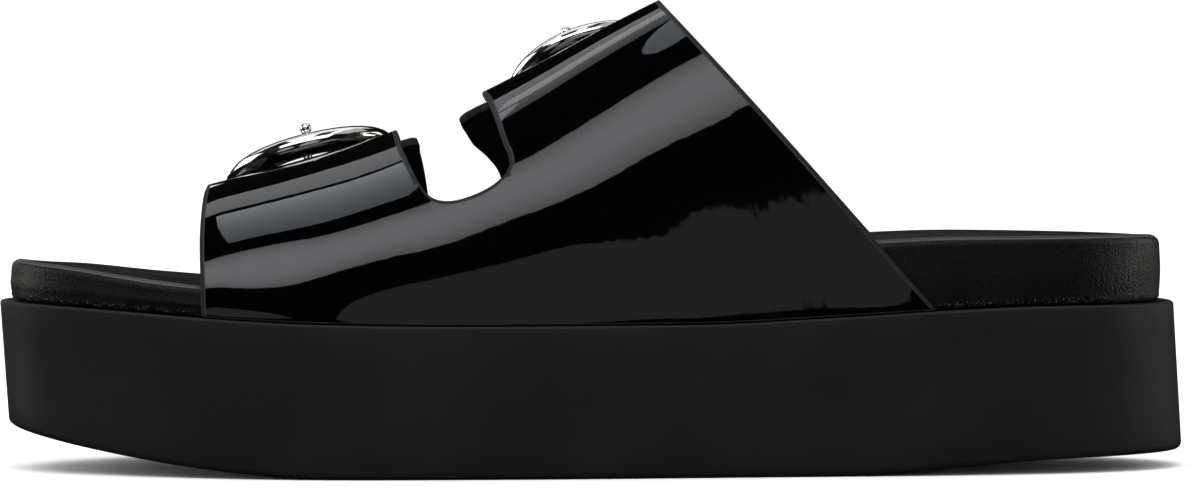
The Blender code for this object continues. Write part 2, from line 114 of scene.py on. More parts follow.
class Curve:
    """Smooth curve through table values, without overshoot between them."""

    def __init__(self, xs: Sequence[float], ys: Sequence[float]) -> None:
        """Prepares the slopes.

        Args:
            xs: Rising positions.
            ys: Values at those positions.
        """
        self.xs, self.ys = list(xs), list(ys)
        rises = [(b - a) / (d - c) for a, b, c, d in zip(self.ys, self.ys[1:], self.xs, self.xs[1:])]
        inner = [2 * p * q / (p + q) if p * q > 0 else 0.0 for p, q in zip(rises, rises[1:])]
        self.slopes = [rises[0], *inner, rises[-1]]

    def __call__(self, x: float) -> float:
        """Reads the curve; beyond the table it stays at the end value.

        Args:
            x: Position.

        Returns:
            The value there.
        """
        k = min(max(bisect_right(self.xs, x) - 1, 0), len(self.xs) - 2)
        span = self.xs[k + 1] - self.xs[k]
        t = min(max((x - self.xs[k]) / span, 0.0), 1.0)
        start = (1 + 2 * t) * (1 - t) ** 2 * self.ys[k] + t * (1 - t) ** 2 * span * self.slopes[k]
        end = t * t * (3 - 2 * t) * self.ys[k + 1] + t * t * (t - 1) * span * self.slopes[k + 1]
        return start + end


class Table:
    """Rows of numbers under named columns, one of which is x."""

    def __init__(self, columns: str, *rows: Sequence[float]) -> None:
        """Keeps the numbers by the names of their columns."""
        self.columns = dict(zip(columns.split(), zip(*rows)))

    def points(self, name: str) -> list[Pair]:
        """Pairs of x and the number in a column."""
        return list(zip(self.columns["x"], self.columns[name]))

    def curve(self, name: str) -> Curve:
        """Curve through a column."""
        return Curve(self.columns["x"], self.columns[name])


def smooth_step(start: float, end: float, value: float) -> float:
    """Eases from 0 at start to 1 at end."""
    t = min(max((value - start) / (end - start), 0.0), 1.0)
    return t * t * (3 - 2 * t)


# Sizes


class Notch(NamedTuple):
    """Cut-out between the two straps, seen from the side: front side, floor and rear side."""

    front: tuple[Pair, ...]
    floor: tuple[Pair, ...]
    rear: tuple[Pair, ...]


class Tongue(NamedTuple):
    """End of a strap past the crest."""

    centre: float
    half_width: float
    shoulder_start: float
    shoulder_end: float
    length: float


class Swell(NamedTuple):
    """Soft ridge, or trough where its height is negative, in the leather of one side panel."""

    x: float
    climb: float
    along: float
    up: float
    height: float


SEAT_GAP = 0.3
PANEL_GAP = 0.7
LEATHER = 1.8
TAB_LAYER = 0.0
STRAP_LAYER = 1.2
UPPER_TOP = STRAP_LAYER + LEATHER
TOE_TIP = (-132.9, -8.0)
HEEL_TIP = (131.8, 2.0)
SOLE_PLAN = Table(
    "x medial lateral",
    (-131.1, -16.6, 0.8),
    (-127.0, -23.4, 9.2),
    (-119.8, -29.4, 18.4),
    (-110.0, -34.4, 26.6),
    (-97.0, -39.8, 34.6),
    (-80.0, -44.6, 41.2),
    (-58.0, -47.6, 45.6),
    (-32.0, -47.0, 48.0),
    (-5.0, -44.6, 47.2),
    (25.0, -40.6, 44.2),
    (55.0, -36.6, 40.2),
    (82.0, -33.4, 36.6),
    (102.0, -29.0, 32.4),
    (117.0, -22.4, 26.0),
    (127.0, -13.4, 17.2),
    (130.7, -6.2, 10.0),
)
SOLE_SIDE = Table(
    "x under top",
    (-132.0, 9.8, 38.0),
    (-118.0, 6.8, 37.5),
    (-104.0, 4.3, 36.7),
    (-90.0, 2.3, 35.8),
    (-76.0, 0.9, 35.0),
    (-62.0, 0.0, 34.4),
    (-24.0, 0.0, 33.9),
    (24.0, 0.0, 34.0),
    (54.0, 0.0, 35.3),
    (78.0, 1.6, 36.6),
    (102.0, 3.2, 37.4),
    (133.0, 3.9, 37.2),
)
FOOTBED_SIDE = Table(
    "x inset rim hollow",
    (-131.0, 2.6, 46.4, 1.6),
    (-118.0, 2.7, 45.3, 1.9),
    (-97.0, 2.9, 42.5, 2.2),
    (-84.0, 2.9, 41.4, 2.4),
    (-50.0, 2.9, 41.1, 2.4),
    (-20.0, 2.9, 42.2, 2.6),
    (10.0, 2.9, 44.8, 3.4),
    (38.0, 2.9, 48.2, 5.0),
    (60.0, 2.9, 51.0, 6.4),
    (84.0, 3.0, 51.9, 7.0),
    (128.0, 3.2, 51.7, 6.6),
)
UPPER_CREST = Table(
    "x height offset",
    (-95.0, 61.2, -4.0),
    (-86.7, 63.4, -4.0),
    (-65.0, 69.1, -3.6),
    (-44.0, 75.6, -3.2),
    (-24.5, 84.0, -2.6),
    (-10.5, 91.2, -2.2),
    (0.0, 97.0, -2.0),
    (16.4, 105.4, -2.0),
    (40.0, 116.0, -1.6),
    (90.0, 132.0, -1.0),
)
MEDIAL_NOTCH = Notch(
    front=((-37.8, 65.5), (-39.8, 69.7), (-41.5, 73.4), (-42.7, 76.0)),
    floor=((-36.1, 63.1), (-34.0, 61.7), (-30.5, 61.4), (-25.2, 62.9), (-21.2, 65.0)),
    rear=((-18.5, 67.3), (-17.5, 69.4), (-17.8, 71.4), (-18.9, 74.0), (-23.2, 84.1)),
)
LATERAL_NOTCH = Notch(
    front=((-37.2, 60.0), (-37.9, 66.0), (-38.8, 71.5)),
    floor=((-36.2, 57.0), (-33.2, 55.2), (-29.0, 55.0), (-24.8, 56.2), (-21.6, 58.8)),
    rear=((-20.0, 62.4), (-21.2, 66.2), (-23.4, 69.4), (-27.0, 73.2), (-29.2, 77.2)),
)
FRONT_EDGE = -85.8
FRONT_BOW = Table("x bow", (0.0, 0.35), (0.2, -0.1), (0.45, -0.5), (0.75, -0.35), (1.0, 0.0))
REAR_EDGE_TOP = (16.6, 105.6)
REAR_EDGE_FOOT = (76.8, 36.6)
FRONT_TONGUE = Tongue(centre=-62.6, half_width=12.6, shoulder_start=0.5, shoulder_end=9.0, length=54.0)
REAR_TONGUE = Tongue(centre=0.0, half_width=12.6, shoulder_start=4.0, shoulder_end=16.0, length=68.0)
MEDIAL_SWELLS = (
    Swell(-70.0, 0.23, 13.0, 0.13, -0.5),
    Swell(-45.0, 0.46, 15.0, 0.19, 0.6),
    Swell(-20.0, 0.46, 12.0, 0.17, 0.35),
    Swell(12.0, 0.30, 14.0, 0.14, -0.1),
)

sole_under = SOLE_SIDE.curve("under")
sole_top = SOLE_SIDE.curve("top")
footbed_inset = FOOTBED_SIDE.curve("inset")
footbed_rim = FOOTBED_SIDE.curve("rim")
footbed_hollow = FOOTBED_SIDE.curve("hollow")
front_bow = FRONT_BOW.curve("bow")


# Outlines and skins


def flowing_points(control: Sequence[Vector], steps: int, closed: bool) -> list[Vector]:
    """Points on a smooth curve through control points.

    Args:
        control: Points that the curve passes.
        steps: Steps between two of them.
        closed: Whether the last point leads back to the first.

    Returns:
        The points in order; an open curve ends on its last control point.
    """
    if closed:
        chain = [control[-1], *control, control[0], control[1]]
    else:
        chain = [control[0] * 2 - control[1], *control, control[-1] * 2 - control[-2]]
    points = []
    for before, start, end, after in zip(chain, chain[1:], chain[2:], chain[3:]):
        knots = [0.0]
        for a, b in ((before, start), (start, end), (end, after)):
            knots.append(knots[-1] + sqrt((b - a).length))
        t0, t1, t2, t3 = knots
        for step in range(steps):
            t = t1 + (t2 - t1) * step / steps
            a1 = before.lerp(start, (t - t0) / (t1 - t0))
            a2 = start.lerp(end, (t - t1) / (t2 - t1))
            a3 = end.lerp(after, (t - t2) / (t3 - t2))
            b1 = a1.lerp(a2, (t - t0) / (t2 - t0))
            b2 = a2.lerp(a3, (t - t1) / (t3 - t1))
            points.append(b1.lerp(b2, (t - t1) / (t2 - t1)))
    return points if closed else [*points, control[-1].copy()]


def plan_outline(steps: int) -> list[Vector]:
    """Outline of the sole's top edge from the toe tip along the medial side and back."""
    points = [TOE_TIP, *SOLE_PLAN.points("medial"), HEEL_TIP, *reversed(SOLE_PLAN.points("lateral"))]
    return flowing_points([Vector(p) for p in points], steps, True)


def inset_loop(points: Sequence[Vector], distance: Callable[[float], float]) -> list[Vector]:
    """Moves the points of an outline inwards along its normals.

    Args:
        points: Closed outline.
        distance: Inset at a position along the foot.

    Returns:
        The moved points.
    """
    moved = []
    for k, point in enumerate(points):
        along = (points[(k + 1) % len(points)] - points[k - 1]).normalized()
        moved.append(point + Vector((-along.y, along.x)) * distance(point.x))
    return moved


def smooth_mesh(bm: BMesh, name: str) -> Mesh:
    """Ends the work on a bmesh.

    Args:
        bm: The bmesh, which is freed.
        name: Name of the mesh.

    Returns:
        Its mesh with smooth shading.
    """
    mesh = bpy.data.meshes.new(name)
    bm.to_mesh(mesh)
    bm.free()
    mesh.shade_smooth()
    return mesh


def add_object(data: ID) -> Object:
    """Puts a mesh, a lamp or a camera into the scene.

    Args:
        data: What the object holds.

    Returns:
        The object, named as its data.
    """
    made = bpy.data.objects.new(data.name, data)
    bpy.context.scene.collection.objects.link(made)
    return made


def show(mesh: Mesh, slot: str, materials: Sequence[Material], *nodes: str) -> Object:
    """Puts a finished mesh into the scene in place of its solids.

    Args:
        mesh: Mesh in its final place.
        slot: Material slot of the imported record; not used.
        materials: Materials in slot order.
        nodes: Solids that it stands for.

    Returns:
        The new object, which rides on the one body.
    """
    piece = add_object(mesh)
    for material in materials:
        mesh.materials.append(material)
    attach(piece, "root")
    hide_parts(*nodes)
    mesh.calc_loop_triangles()
    LOG.info("%s: %d triangles", piece.name, len(mesh.loop_triangles))
    return piece


class Loft:
    """Skin that grows loop by loop from a circle of vertices and is closed by grids."""

    WELD = 0.000002
    SHARP = 0.9

    def __init__(self, count: int) -> None:
        """Starts with a ring of vertices.

        Args:
            count: Vertices in the ring.
        """
        self.bm = bmesh.new()
        self.mark = self.bm.verts.layers.int.new("place")
        # Bright specks along the joint: bits of adhesive painted as glints.
        self.crumbs = self.bm.verts.layers.float.new(Mask.CRUMBS.value)
        # A paler band painted as a highlight, on the sole's lip and the footbed's seams.
        self.lines = self.bm.verts.layers.float.new(Mask.LINES.value)
        ring = bmesh.ops.create_circle(self.bm, cap_ends=False, segments=count, radius=1.0)["verts"]
        for k, vert in enumerate(ring):
            vert[self.mark] = k
        self.edges = list(self.bm.edges)
        self.loops: list[list[Vector]] = []

    def add(self, points: Sequence[Sequence[float]], crumbs: float = 0.0, lines: float = 0.0) -> None:
        """Adds a loop; the first one places the starting ring.

        Args:
            points: One point for each vertex of the ring.
            crumbs: Share on the loop of the specks along the joint: bits of adhesive painted bright as
                glints.
            lines: Share on the loop of the paler colour, a painted highlight.
        """
        verts = list(self.bm.verts)
        if self.loops:
            grown = bmesh.ops.extrude_edge_only(self.bm, edges=self.edges)["geom"]
            verts = [e for e in grown if isinstance(e, BMVert)]
            fresh = set(verts)
            self.edges = [e for e in grown if isinstance(e, BMEdge) and set(e.verts) <= fresh]
        loop = [Vector(p) for p in points]
        for vert in verts:
            vert.co = loop[vert[self.mark]] * MM
            vert[self.crumbs], vert[self.lines] = crumbs, lines
        self.loops.append(loop)

    def cap(
        self, loop: int, columns: int = 4, height: Optional[Callable[[Vector, float, float], float]] = None
    ) -> None:
        """Closes a loop with a grid from its medial to its lateral half.

        Args:
            loop: Number of the loop, 0 or -1.
            columns: Columns across.
            height: Height at a point, from the point, its share across and the half width there.
                Without it the grid spans the loop straight.
        """
        ring = self.loops[loop]
        rows = len(ring) // 2
        grid = bmesh.ops.create_grid(self.bm, x_segments=columns, y_segments=rows, size=0.5)["verts"]
        for vert in grid:
            i, j = round((vert.co.x + 0.5) * columns), round((vert.co.y + 0.5) * rows)
            near, far = ring[j], ring[-j % len(ring)]
            point = near.lerp(far, i / columns)
            if height and 0 < i < columns and 0 < j < rows:
                point.z = height(point, i / columns, (far - near).length / 2)
            vert.co = point * MM

    def finish(self, name: str) -> Mesh:
        """Welds the skin and turns its faces outwards.

        Args:
            name: Name of the mesh.

        Returns:
            The closed mesh with smooth shading.
        """
        bmesh.ops.remove_doubles(self.bm, verts=self.bm.verts, dist=self.WELD)
        bmesh.ops.recalc_face_normals(self.bm, faces=self.bm.faces)
        mesh = smooth_mesh(self.bm, name)
        mesh.set_sharp_from_angle(angle=self.SHARP)
        return mesh


# Shared effects


class Nodes:
    """Short calls for the nodes of one tree."""

    def __init__(self, tree: NodeTree) -> None:
        """Keeps the tree."""
        self.tree = tree

    def feed(self, socket: NodeSocket, value: Value) -> None:
        """Gives an input a plain value or links it to another node's output.

        Args:
            socket: The input.
            value: Plain value or output.
        """
        if isinstance(value, NodeSocket):
            self.tree.links.new(value, socket)
        else:
            socket.default_value = value

    def node(self, kind: str, inputs: dict[Union[str, int], Value], **settings: object) -> Node:
        """Adds a node.

        Args:
            kind: Its type after the words ShaderNode.
            inputs: Its inputs by name or number.
            settings: Its properties.

        Returns:
            The node.
        """
        made = self.tree.nodes.new("ShaderNode" + kind)
        for name, value in settings.items():
            setattr(made, name, value)
        for key, value in inputs.items():
            self.feed(made.inputs[key], value)
        return made

    def math(self, operation: str, *values: Value) -> NodeSocket:
        """Adds a math node and returns its value."""
        return self.node("Math", dict(enumerate(values)), operation=operation).outputs[0]


class Effect(Nodes):
    """A shared shader effect: a node group on object coordinates in millimetres."""

    def __init__(self, pattern: Pattern, inputs: Sequence[str], outputs: Sequence[str]) -> None:
        """Makes the group with float inputs and outputs.

        Args:
            pattern: Which effect it is.
            inputs: Names of its inputs.
            outputs: Names of its outputs.
        """
        super().__init__(bpy.data.node_groups.new(pattern.value, "ShaderNodeTree"))
        self.pattern = pattern
        for way, names in (("INPUT", inputs), ("OUTPUT", outputs)):
            for name in names:
                self.tree.interface.new_socket(name=name, in_out=way, socket_type="NodeSocketFloat")
        self.given = self.tree.nodes.new("NodeGroupInput")
        self.result = self.tree.nodes.new("NodeGroupOutput")
        place = self.node("TexCoord", {}).outputs["Object"]
        scaled = self.node("VectorMath", {0: place, "Scale": 1.0 / MM}, operation="SCALE")
        self.place = scaled.outputs["Vector"]

    def frequency(self, size: str) -> NodeSocket:
        """Turns an input that holds a size in millimetres into a texture scale."""
        return self.math("DIVIDE", 1.0, self.given.outputs[size])

    def noise(self, scale: Value, detail: float, place: Optional[NodeSocket] = None) -> NodeSocket:
        """Adds noise of a scale and octaves, on the object's own coordinates unless others are given."""
        inputs = {"Vector": self.place if place is None else place, "Scale": scale, "Detail": detail}
        return self.node("TexNoise", inputs).outputs[0]

    def clamped(self, value: Value, start: float, gain: float) -> NodeSocket:
        """Lifts what a value has above a start by a gain, and holds it between 0 and 1."""
        lifted = self.math("MULTIPLY", self.math("SUBTRACT", value, start), gain)
        return self.math("MINIMUM", self.math("MAXIMUM", lifted, 0.0), 1.0)

    def give(self, **values: NodeSocket) -> None:
        """Connects values to the outputs of those names."""
        for name, value in values.items():
            self.feed(self.result.inputs[name], value)


class LeatherGrain(Effect):
    """Pebbled leather: rounded cells parted by creases, with finer pores."""

    WANDER_SCALE = 0.9
    CROWN_GAIN = 3.2
    CROWN_SHARE, PORE_SHARE = 0.7, 0.3

    def __init__(self) -> None:
        """Builds the group."""
        super().__init__(Pattern.GRAIN, ("Cell", "Pore"), ("Height", "Crease"))
        wander = self.node("TexNoise", {"Vector": self.place, "Scale": self.WANDER_SCALE}).outputs["Color"]
        bent = self.node("VectorMath", {0: self.place, 1: wander}, operation="ADD").outputs["Vector"]
        cells = {"Vector": bent, "Scale": self.frequency("Cell")}
        edge = self.node("TexVoronoi", cells, feature="DISTANCE_TO_EDGE").outputs["Distance"]
        crown = self.math("MINIMUM", self.math("MULTIPLY", edge, self.CROWN_GAIN), 1.0)
        pores = self.math("MULTIPLY", self.noise(self.frequency("Pore"), detail=3.0), self.PORE_SHARE)
        height = self.math("ADD", self.math("MULTIPLY", crown, self.CROWN_SHARE), pores)
        self.give(Height=height, Crease=self.math("SUBTRACT", 1.0, crown))


class SoftRipple(Effect):
    """Slow unevenness of a poured or pressed surface in two sizes."""

    def __init__(self) -> None:
        """Builds the group."""
        super().__init__(Pattern.RIPPLE, ("Broad", "Narrow", "Share"), ("Height",))
        broad = self.noise(self.frequency("Broad"), detail=0.0)
        narrow = self.noise(self.frequency("Narrow"), detail=0.5)
        self.give(Height=self.math("ADD", broad, self.math("MULTIPLY", narrow, self.given.outputs["Share"])))


class Wrinkles(Effect):
    """Fine upright wrinkles of leather that is pulled round a side, in patches."""

    STRETCH = (1.0, 1.0, 0.3)
    OFF_AXIS = (0.6, 0.4, 0.7)
    PATCH_SCALE = 0.055

    def __init__(self) -> None:
        """Builds the group; the stretched noise is turned off the axes so that no lattice shows."""
        super().__init__(Pattern.WRINKLES, ("Pitch",), ("Height",))
        drawn = {"Vector": self.place, "Scale": self.STRETCH, "Rotation": self.OFF_AXIS}
        upright = self.node("Mapping", drawn).outputs["Vector"]
        fine = self.noise(self.frequency("Pitch"), detail=2.0, place=upright)
        patches = self.clamped(self.noise(self.PATCH_SCALE, detail=1.0), start=0.38, gain=3.4)
        self.give(Height=self.math("MULTIPLY", fine, patches))


class Clouds(Effect):
    """Mask from 0 to 1: faint cloudy marks of handling, or sparse specks where bits of dust and adhesive are
    painted bright as glints.
    """

    def __init__(self, pattern: Pattern, octaves: float, start: float, gain: float) -> None:
        """Builds the group from noise of some octaves, cut off below a start and lifted by a gain."""
        super().__init__(pattern, ("Size",), ("Mask",))
        self.give(Mask=self.clamped(self.noise(self.frequency("Size"), octaves), start, gain))


# Finishes


class Shader(Nodes):
    """A material under construction."""

    def __init__(self, name: str) -> None:
        """Makes the material with its Principled shader.

        Args:
            name: Name of the material.
        """
        self.material = bpy.data.materials.new(name)
        self.material.use_nodes = True
        super().__init__(self.material.node_tree)
        self.surface = self.tree.nodes["Principled BSDF"]

    def set(self, socket: str, value: Value) -> None:
        """Feeds an input of the Principled shader."""
        self.feed(self.surface.inputs[socket], value)

    def effect(self, tree: NodeTree, sizes: dict[str, float]) -> Node:
        """Places a shared effect with its own sizes."""
        return self.node("Group", sizes, node_tree=tree)

    def ramp(self, share: NodeSocket, low: float, high: float) -> NodeSocket:
        """Maps a 0 to 1 value to a plain range."""
        return self.node("MapRange", {"Value": share, "To Min": low, "To Max": high}).outputs["Result"]

    def blend(self, share: NodeSocket, first: Value, second: Colour) -> NodeSocket:
        """Mixes two colours by the share of the second one."""
        return self.node("Mix", {"Factor": share, 6: first, 7: second}, data_type="RGBA").outputs[2]

    def painted(self, mask: Mask) -> NodeSocket:
        """Share that is painted on the mesh."""
        return self.node("Attribute", {}, attribute_name=mask.value).outputs["Fac"]


class Layer(NamedTuple):
    """A second colour and what spreads it."""

    mask: Mask
    colour: Colour


class Relief(NamedTuple):
    """Bump from a shared effect, with its depth in millimetres and the effect's own sizes."""

    pattern: Pattern
    depth: float
    sizes: dict[str, float]


def ripple(depth: float, broad: float, narrow: float, share: float) -> Relief:
    """Relief of a soft ripple."""
    return Relief(Pattern.RIPPLE, depth, {"Broad": broad, "Narrow": narrow, "Share": share})


def grain(depth: float, cell: float, pore: float) -> Relief:
    """Relief of leather grain."""
    return Relief(Pattern.GRAIN, depth, {"Cell": cell, "Pore": pore})


@dataclass(frozen=True)
class Finish:
    """A finish: colour, second colours, roughness where it is clean and marked, relief from below upwards.

    Marks and specks are the sizes of its handling marks and of the specks that are painted bright as glints.
    """

    name: str
    colour: Colour
    roughness: Pair
    marks: float
    layers: tuple[Layer, ...] = ()
    relief: tuple[Relief, ...] = ()
    shine: float = 0.5
    metallic: float = 0.0
    specks: float = 0.34

    def material(self, effects: dict[Pattern, NodeTree]) -> Material:
        """Builds the material.

        Args:
            effects: Node groups of the shared effects.

        Returns:
            The material.
        """
        shader = Shader(self.name)
        shader.set("Specular IOR Level", self.shine)
        shader.set("Metallic", self.metallic)
        marks = shader.effect(effects[Pattern.HANDLING], {"Size": self.marks}).outputs["Mask"]
        clean, marked = self.roughness
        shader.set("Roughness", clean if clean == marked else shader.ramp(marks, clean, marked))
        masks = {Mask.MARKS: marks}
        below = {}
        for relief in self.relief:
            effect = shader.effect(effects[relief.pattern], relief.sizes)
            if relief.pattern is Pattern.GRAIN:
                # The grain's creases also get a darker colour: painted shade.
                masks[Mask.CREASES] = effect.outputs["Crease"]
            bump = {"Strength": 1.0, "Distance": relief.depth * MM, "Height": effect.outputs["Height"]}
            below = {"Normal": shader.node("Bump", {**bump, **below}).outputs["Normal"]}
            shader.set("Normal", below["Normal"])
        paint = self.colour
        for mask, colour in self.layers:
            share = masks[mask] if mask in masks else shader.painted(mask)
            # The specks along the joint are painted bright as glints.
            if mask is Mask.CRUMBS:
                crumbs = shader.effect(effects[Pattern.SPECKS], {"Size": self.specks})
                share = shader.math("MULTIPLY", share, crumbs.outputs["Mask"])
            paint = shader.blend(share, paint, colour)
        shader.set("Base Color", paint)
        return shader.material


@dataclass(frozen=True)
class PatentLeather(Finish):
    """Black leather under a thick clear lacquer."""

    name: str = "black_patent"
    colour: Colour = (0.0004, 0.0004, 0.0005, 1.0)
    roughness: Pair = (0.022, 0.045)
    marks: float = 22.0
    relief: tuple[Relief, ...] = (ripple(depth=0.048, broad=14.0, narrow=2.4, share=0.14),)


@dataclass(frozen=True)
class EdgePaint(Finish):
    """Dark grey paint on the cut edges of the leather."""

    name: str = "edge_paint"
    colour: Colour = (0.007, 0.007, 0.0075, 1.0)
    roughness: Pair = (0.5, 0.5)
    marks: float = 6.0
    layers: tuple[Layer, ...] = (Layer(Mask.MARKS, (0.011, 0.011, 0.0115, 1.0)),)
    relief: tuple[Relief, ...] = (ripple(depth=0.05, broad=2.4, narrow=0.7, share=0.4),)
    shine: float = 0.14


@dataclass(frozen=True)
class EdgeHighlight(EdgePaint):
    """A thin band of that paint on the face of the leather, painted paler as a highlight along the edge."""

    name: str = "edge_highlight"
    colour: Colour = (0.013, 0.013, 0.014, 1.0)
    layers: tuple[Layer, ...] = (Layer(Mask.MARKS, (0.022, 0.022, 0.023, 1.0)),)


@dataclass(frozen=True)
class LiningLeather(Finish):
    """Plain dark leather on the inside of the upper."""

    name: str = "lining_leather"
    colour: Colour = (0.010, 0.0095, 0.0095, 1.0)
    roughness: Pair = (0.55, 0.70)
    marks: float = 30.0
    # Darker colour in the grain creases: painted shade.
    layers: tuple[Layer, ...] = (Layer(Mask.CREASES, (0.005, 0.005, 0.005, 1.0)),)
    relief: tuple[Relief, ...] = (grain(depth=0.05, cell=0.9, pore=0.25),)


@dataclass(frozen=True)
class FootbedLeather(Finish):
    """Soft grained leather pulled over the padded footbed, with painted shade in its grain creases, sewn
    seams painted pale as a highlight, and bits of adhesive along its foot painted bright as glints.
    """

    name: str = "footbed_leather"
    colour: Colour = (0.0022, 0.0023, 0.0031, 1.0)
    roughness: Pair = (0.40, 0.56)
    marks: float = 14.0
    layers: tuple[Layer, ...] = (
        # Darker colour in the grain creases: painted shade.
        Layer(Mask.CREASES, (0.0011, 0.0011, 0.0015, 1.0)),
        # The sewn seams are painted pale as a highlight along the rim.
        Layer(Mask.LINES, (0.062, 0.060, 0.058, 1.0)),
        # Bits of adhesive along the joint, painted bright as glints.
        Layer(Mask.CRUMBS, (0.11, 0.10, 0.09, 1.0)),
    )
    relief: tuple[Relief, ...] = (
        Relief(Pattern.WRINKLES, 0.24, {"Pitch": 0.62}),
        grain(depth=0.06, cell=0.75, pore=0.22),
    )
    shine: float = 0.27


@dataclass(frozen=True)
class SoleRubber(Finish):
    """Matte moulded rubber with faint clouding and a lip painted paler as a highlight."""

    name: str = "sole_rubber"
    colour: Colour = (0.0038, 0.0039, 0.0046, 1.0)
    roughness: Pair = (0.66, 0.58)
    marks: float = 26.0
    layers: tuple[Layer, ...] = (
        Layer(Mask.MARKS, (0.0055, 0.0056, 0.0064, 1.0)),
        # A paler band on the lip, painted as a highlight.
        Layer(Mask.LINES, (0.019, 0.019, 0.020, 1.0)),
    )
    relief: tuple[Relief, ...] = (ripple(depth=0.018, broad=0.5, narrow=0.18, share=0.6),)
    shine: float = 0.22


@dataclass(frozen=True)
class PolishedMetal(Finish):
    """Bright plated metal with faint marks of wear."""

    name: str = "polished_metal"
    colour: Colour = (0.80, 0.785, 0.76, 1.0)
    roughness: Pair = (0.05, 0.16)
    marks: float = 5.0
    relief: tuple[Relief, ...] = (ripple(depth=0.02, broad=6.0, narrow=0.4, share=0.03),)
    metallic: float = 1.0


@dataclass(frozen=True)
class StudioPaper(Finish):
    """White paper of the studio floor."""

    name: str = "studio_paper"
    colour: Colour = (0.92, 0.92, 0.92, 1.0)
    roughness: Pair = (0.9, 0.9)
    marks: float = 400.0
    layers: tuple[Layer, ...] = (Layer(Mask.MARKS, (0.90, 0.90, 0.90, 1.0)),)
    shine: float = 0.1


# Sole and footbed


@dataclass
class PlatformSole:
    """The thick rubber platform with its toe spring, raised heel edge and shallow tread."""

    steps: int = 10
    lean: float = 2.0
    foot_round: float = 1.6
    foot_steps: int = 4
    wall_shares: Shares = (0.15, 0.35, 0.5, 0.65, 0.85)
    lip_round: float = 0.6
    lip_steps: int = 3
    # Insets to which the lip's painted highlight reaches in full, and where it has faded out.
    lip_highlight: float = 0.8
    lip_highlight_fade: float = 1.4
    ledge: float = 5.0
    groove_pitch: float = 9.0
    groove_width: float = 3.2
    groove_depth: float = 0.9
    groove_slope: float = 0.7
    tread_margin: Pair = (7.0, 9.0)
    waist_centre: float = -4.0
    waist_ends: Pair = (22.0, 26.0)
    tread_columns: int = 40

    def level(
        self, outline: Sequence[Vector], inset: float, rise: Callable[[float, float], float]
    ) -> list[Vector]:
        """One loop of the wall.

        Args:
            outline: Plan of the top edge.
            inset: Distance inside that plan.
            rise: Height from the under and top heights of a section.

        Returns:
            The loop's points.
        """
        loop = []
        for p in inset_loop(outline, lambda x: inset):
            low, high = sole_under(p.x), sole_top(p.x)
            z = rise(low, high)
            loop.append(Vector((p.x + self.lean * (high - z) / (high - low), p.y, z)))
        return loop

    def tread(self, point: Vector, share: float, half: float) -> float:
        """Height of the underside, with grooves across the forefoot and heel.

        Args:
            point: Point on the plain underside.
            share: Share across, from the medial edge to the lateral one.
            half: Half of the width there.

        Returns:
            The height.
        """
        inside = smooth_step(*self.tread_margin, half * 2 * min(share, 1 - share))
        wave = abs((point.x / self.groove_pitch) % 1.0 - 0.5) * self.groove_pitch
        side = self.groove_width / 2
        cut = 1 - smooth_step(side - self.groove_slope, side + self.groove_slope, wave)
        zone = smooth_step(*self.waist_ends, abs(point.x - self.waist_centre))
        return point.z + self.groove_depth * cut * inside * zone

    def build(self, finish: Material) -> None:
        """Builds and dresses the sole.

        Args:
            finish: Its material.
        """
        outline = plan_outline(self.steps)
        loft = Loft(len(outline))
        for k in range(self.foot_steps + 1):
            angle = pi / 2 * k / self.foot_steps
            inset, lift = self.foot_round * (1 - sin(angle)), self.foot_round * (1 - cos(angle))
            loft.add(self.level(outline, inset, lambda low, high, lift=lift: low + lift))
        foot, rounds = self.foot_round, self.foot_round + self.lip_round
        for share in self.wall_shares:
            wall = self.level(outline, 0.0, lambda low, high, s=share: low + foot + (high - low - rounds) * s)
            loft.add(wall)
        for k in range(self.lip_steps + 1):
            angle = pi / 2 * k / self.lip_steps
            inset, drop = self.lip_round * (1 - cos(angle)), self.lip_round * (1 - sin(angle))
            lip = self.level(outline, inset, lambda low, high, drop=drop: high - drop)
            loft.add(lip, lines=k / self.lip_steps)
        # The lip and the ledge beside it are painted paler as a highlight that fades inwards.
        line, fade = self.lip_round + self.lip_highlight, self.lip_round + self.lip_highlight_fade
        for inset, lines in ((line, 1.0), (fade, 0.0), (self.ledge, 0.0)):
            loft.add(self.level(outline, inset, lambda low, high: high), lines=lines)
        loft.cap(0, self.tread_columns, self.tread)
        loft.cap(-1)
        show(loft.finish("platform_sole_dressed"), "sole_rubber", [finish], "platform_sole")


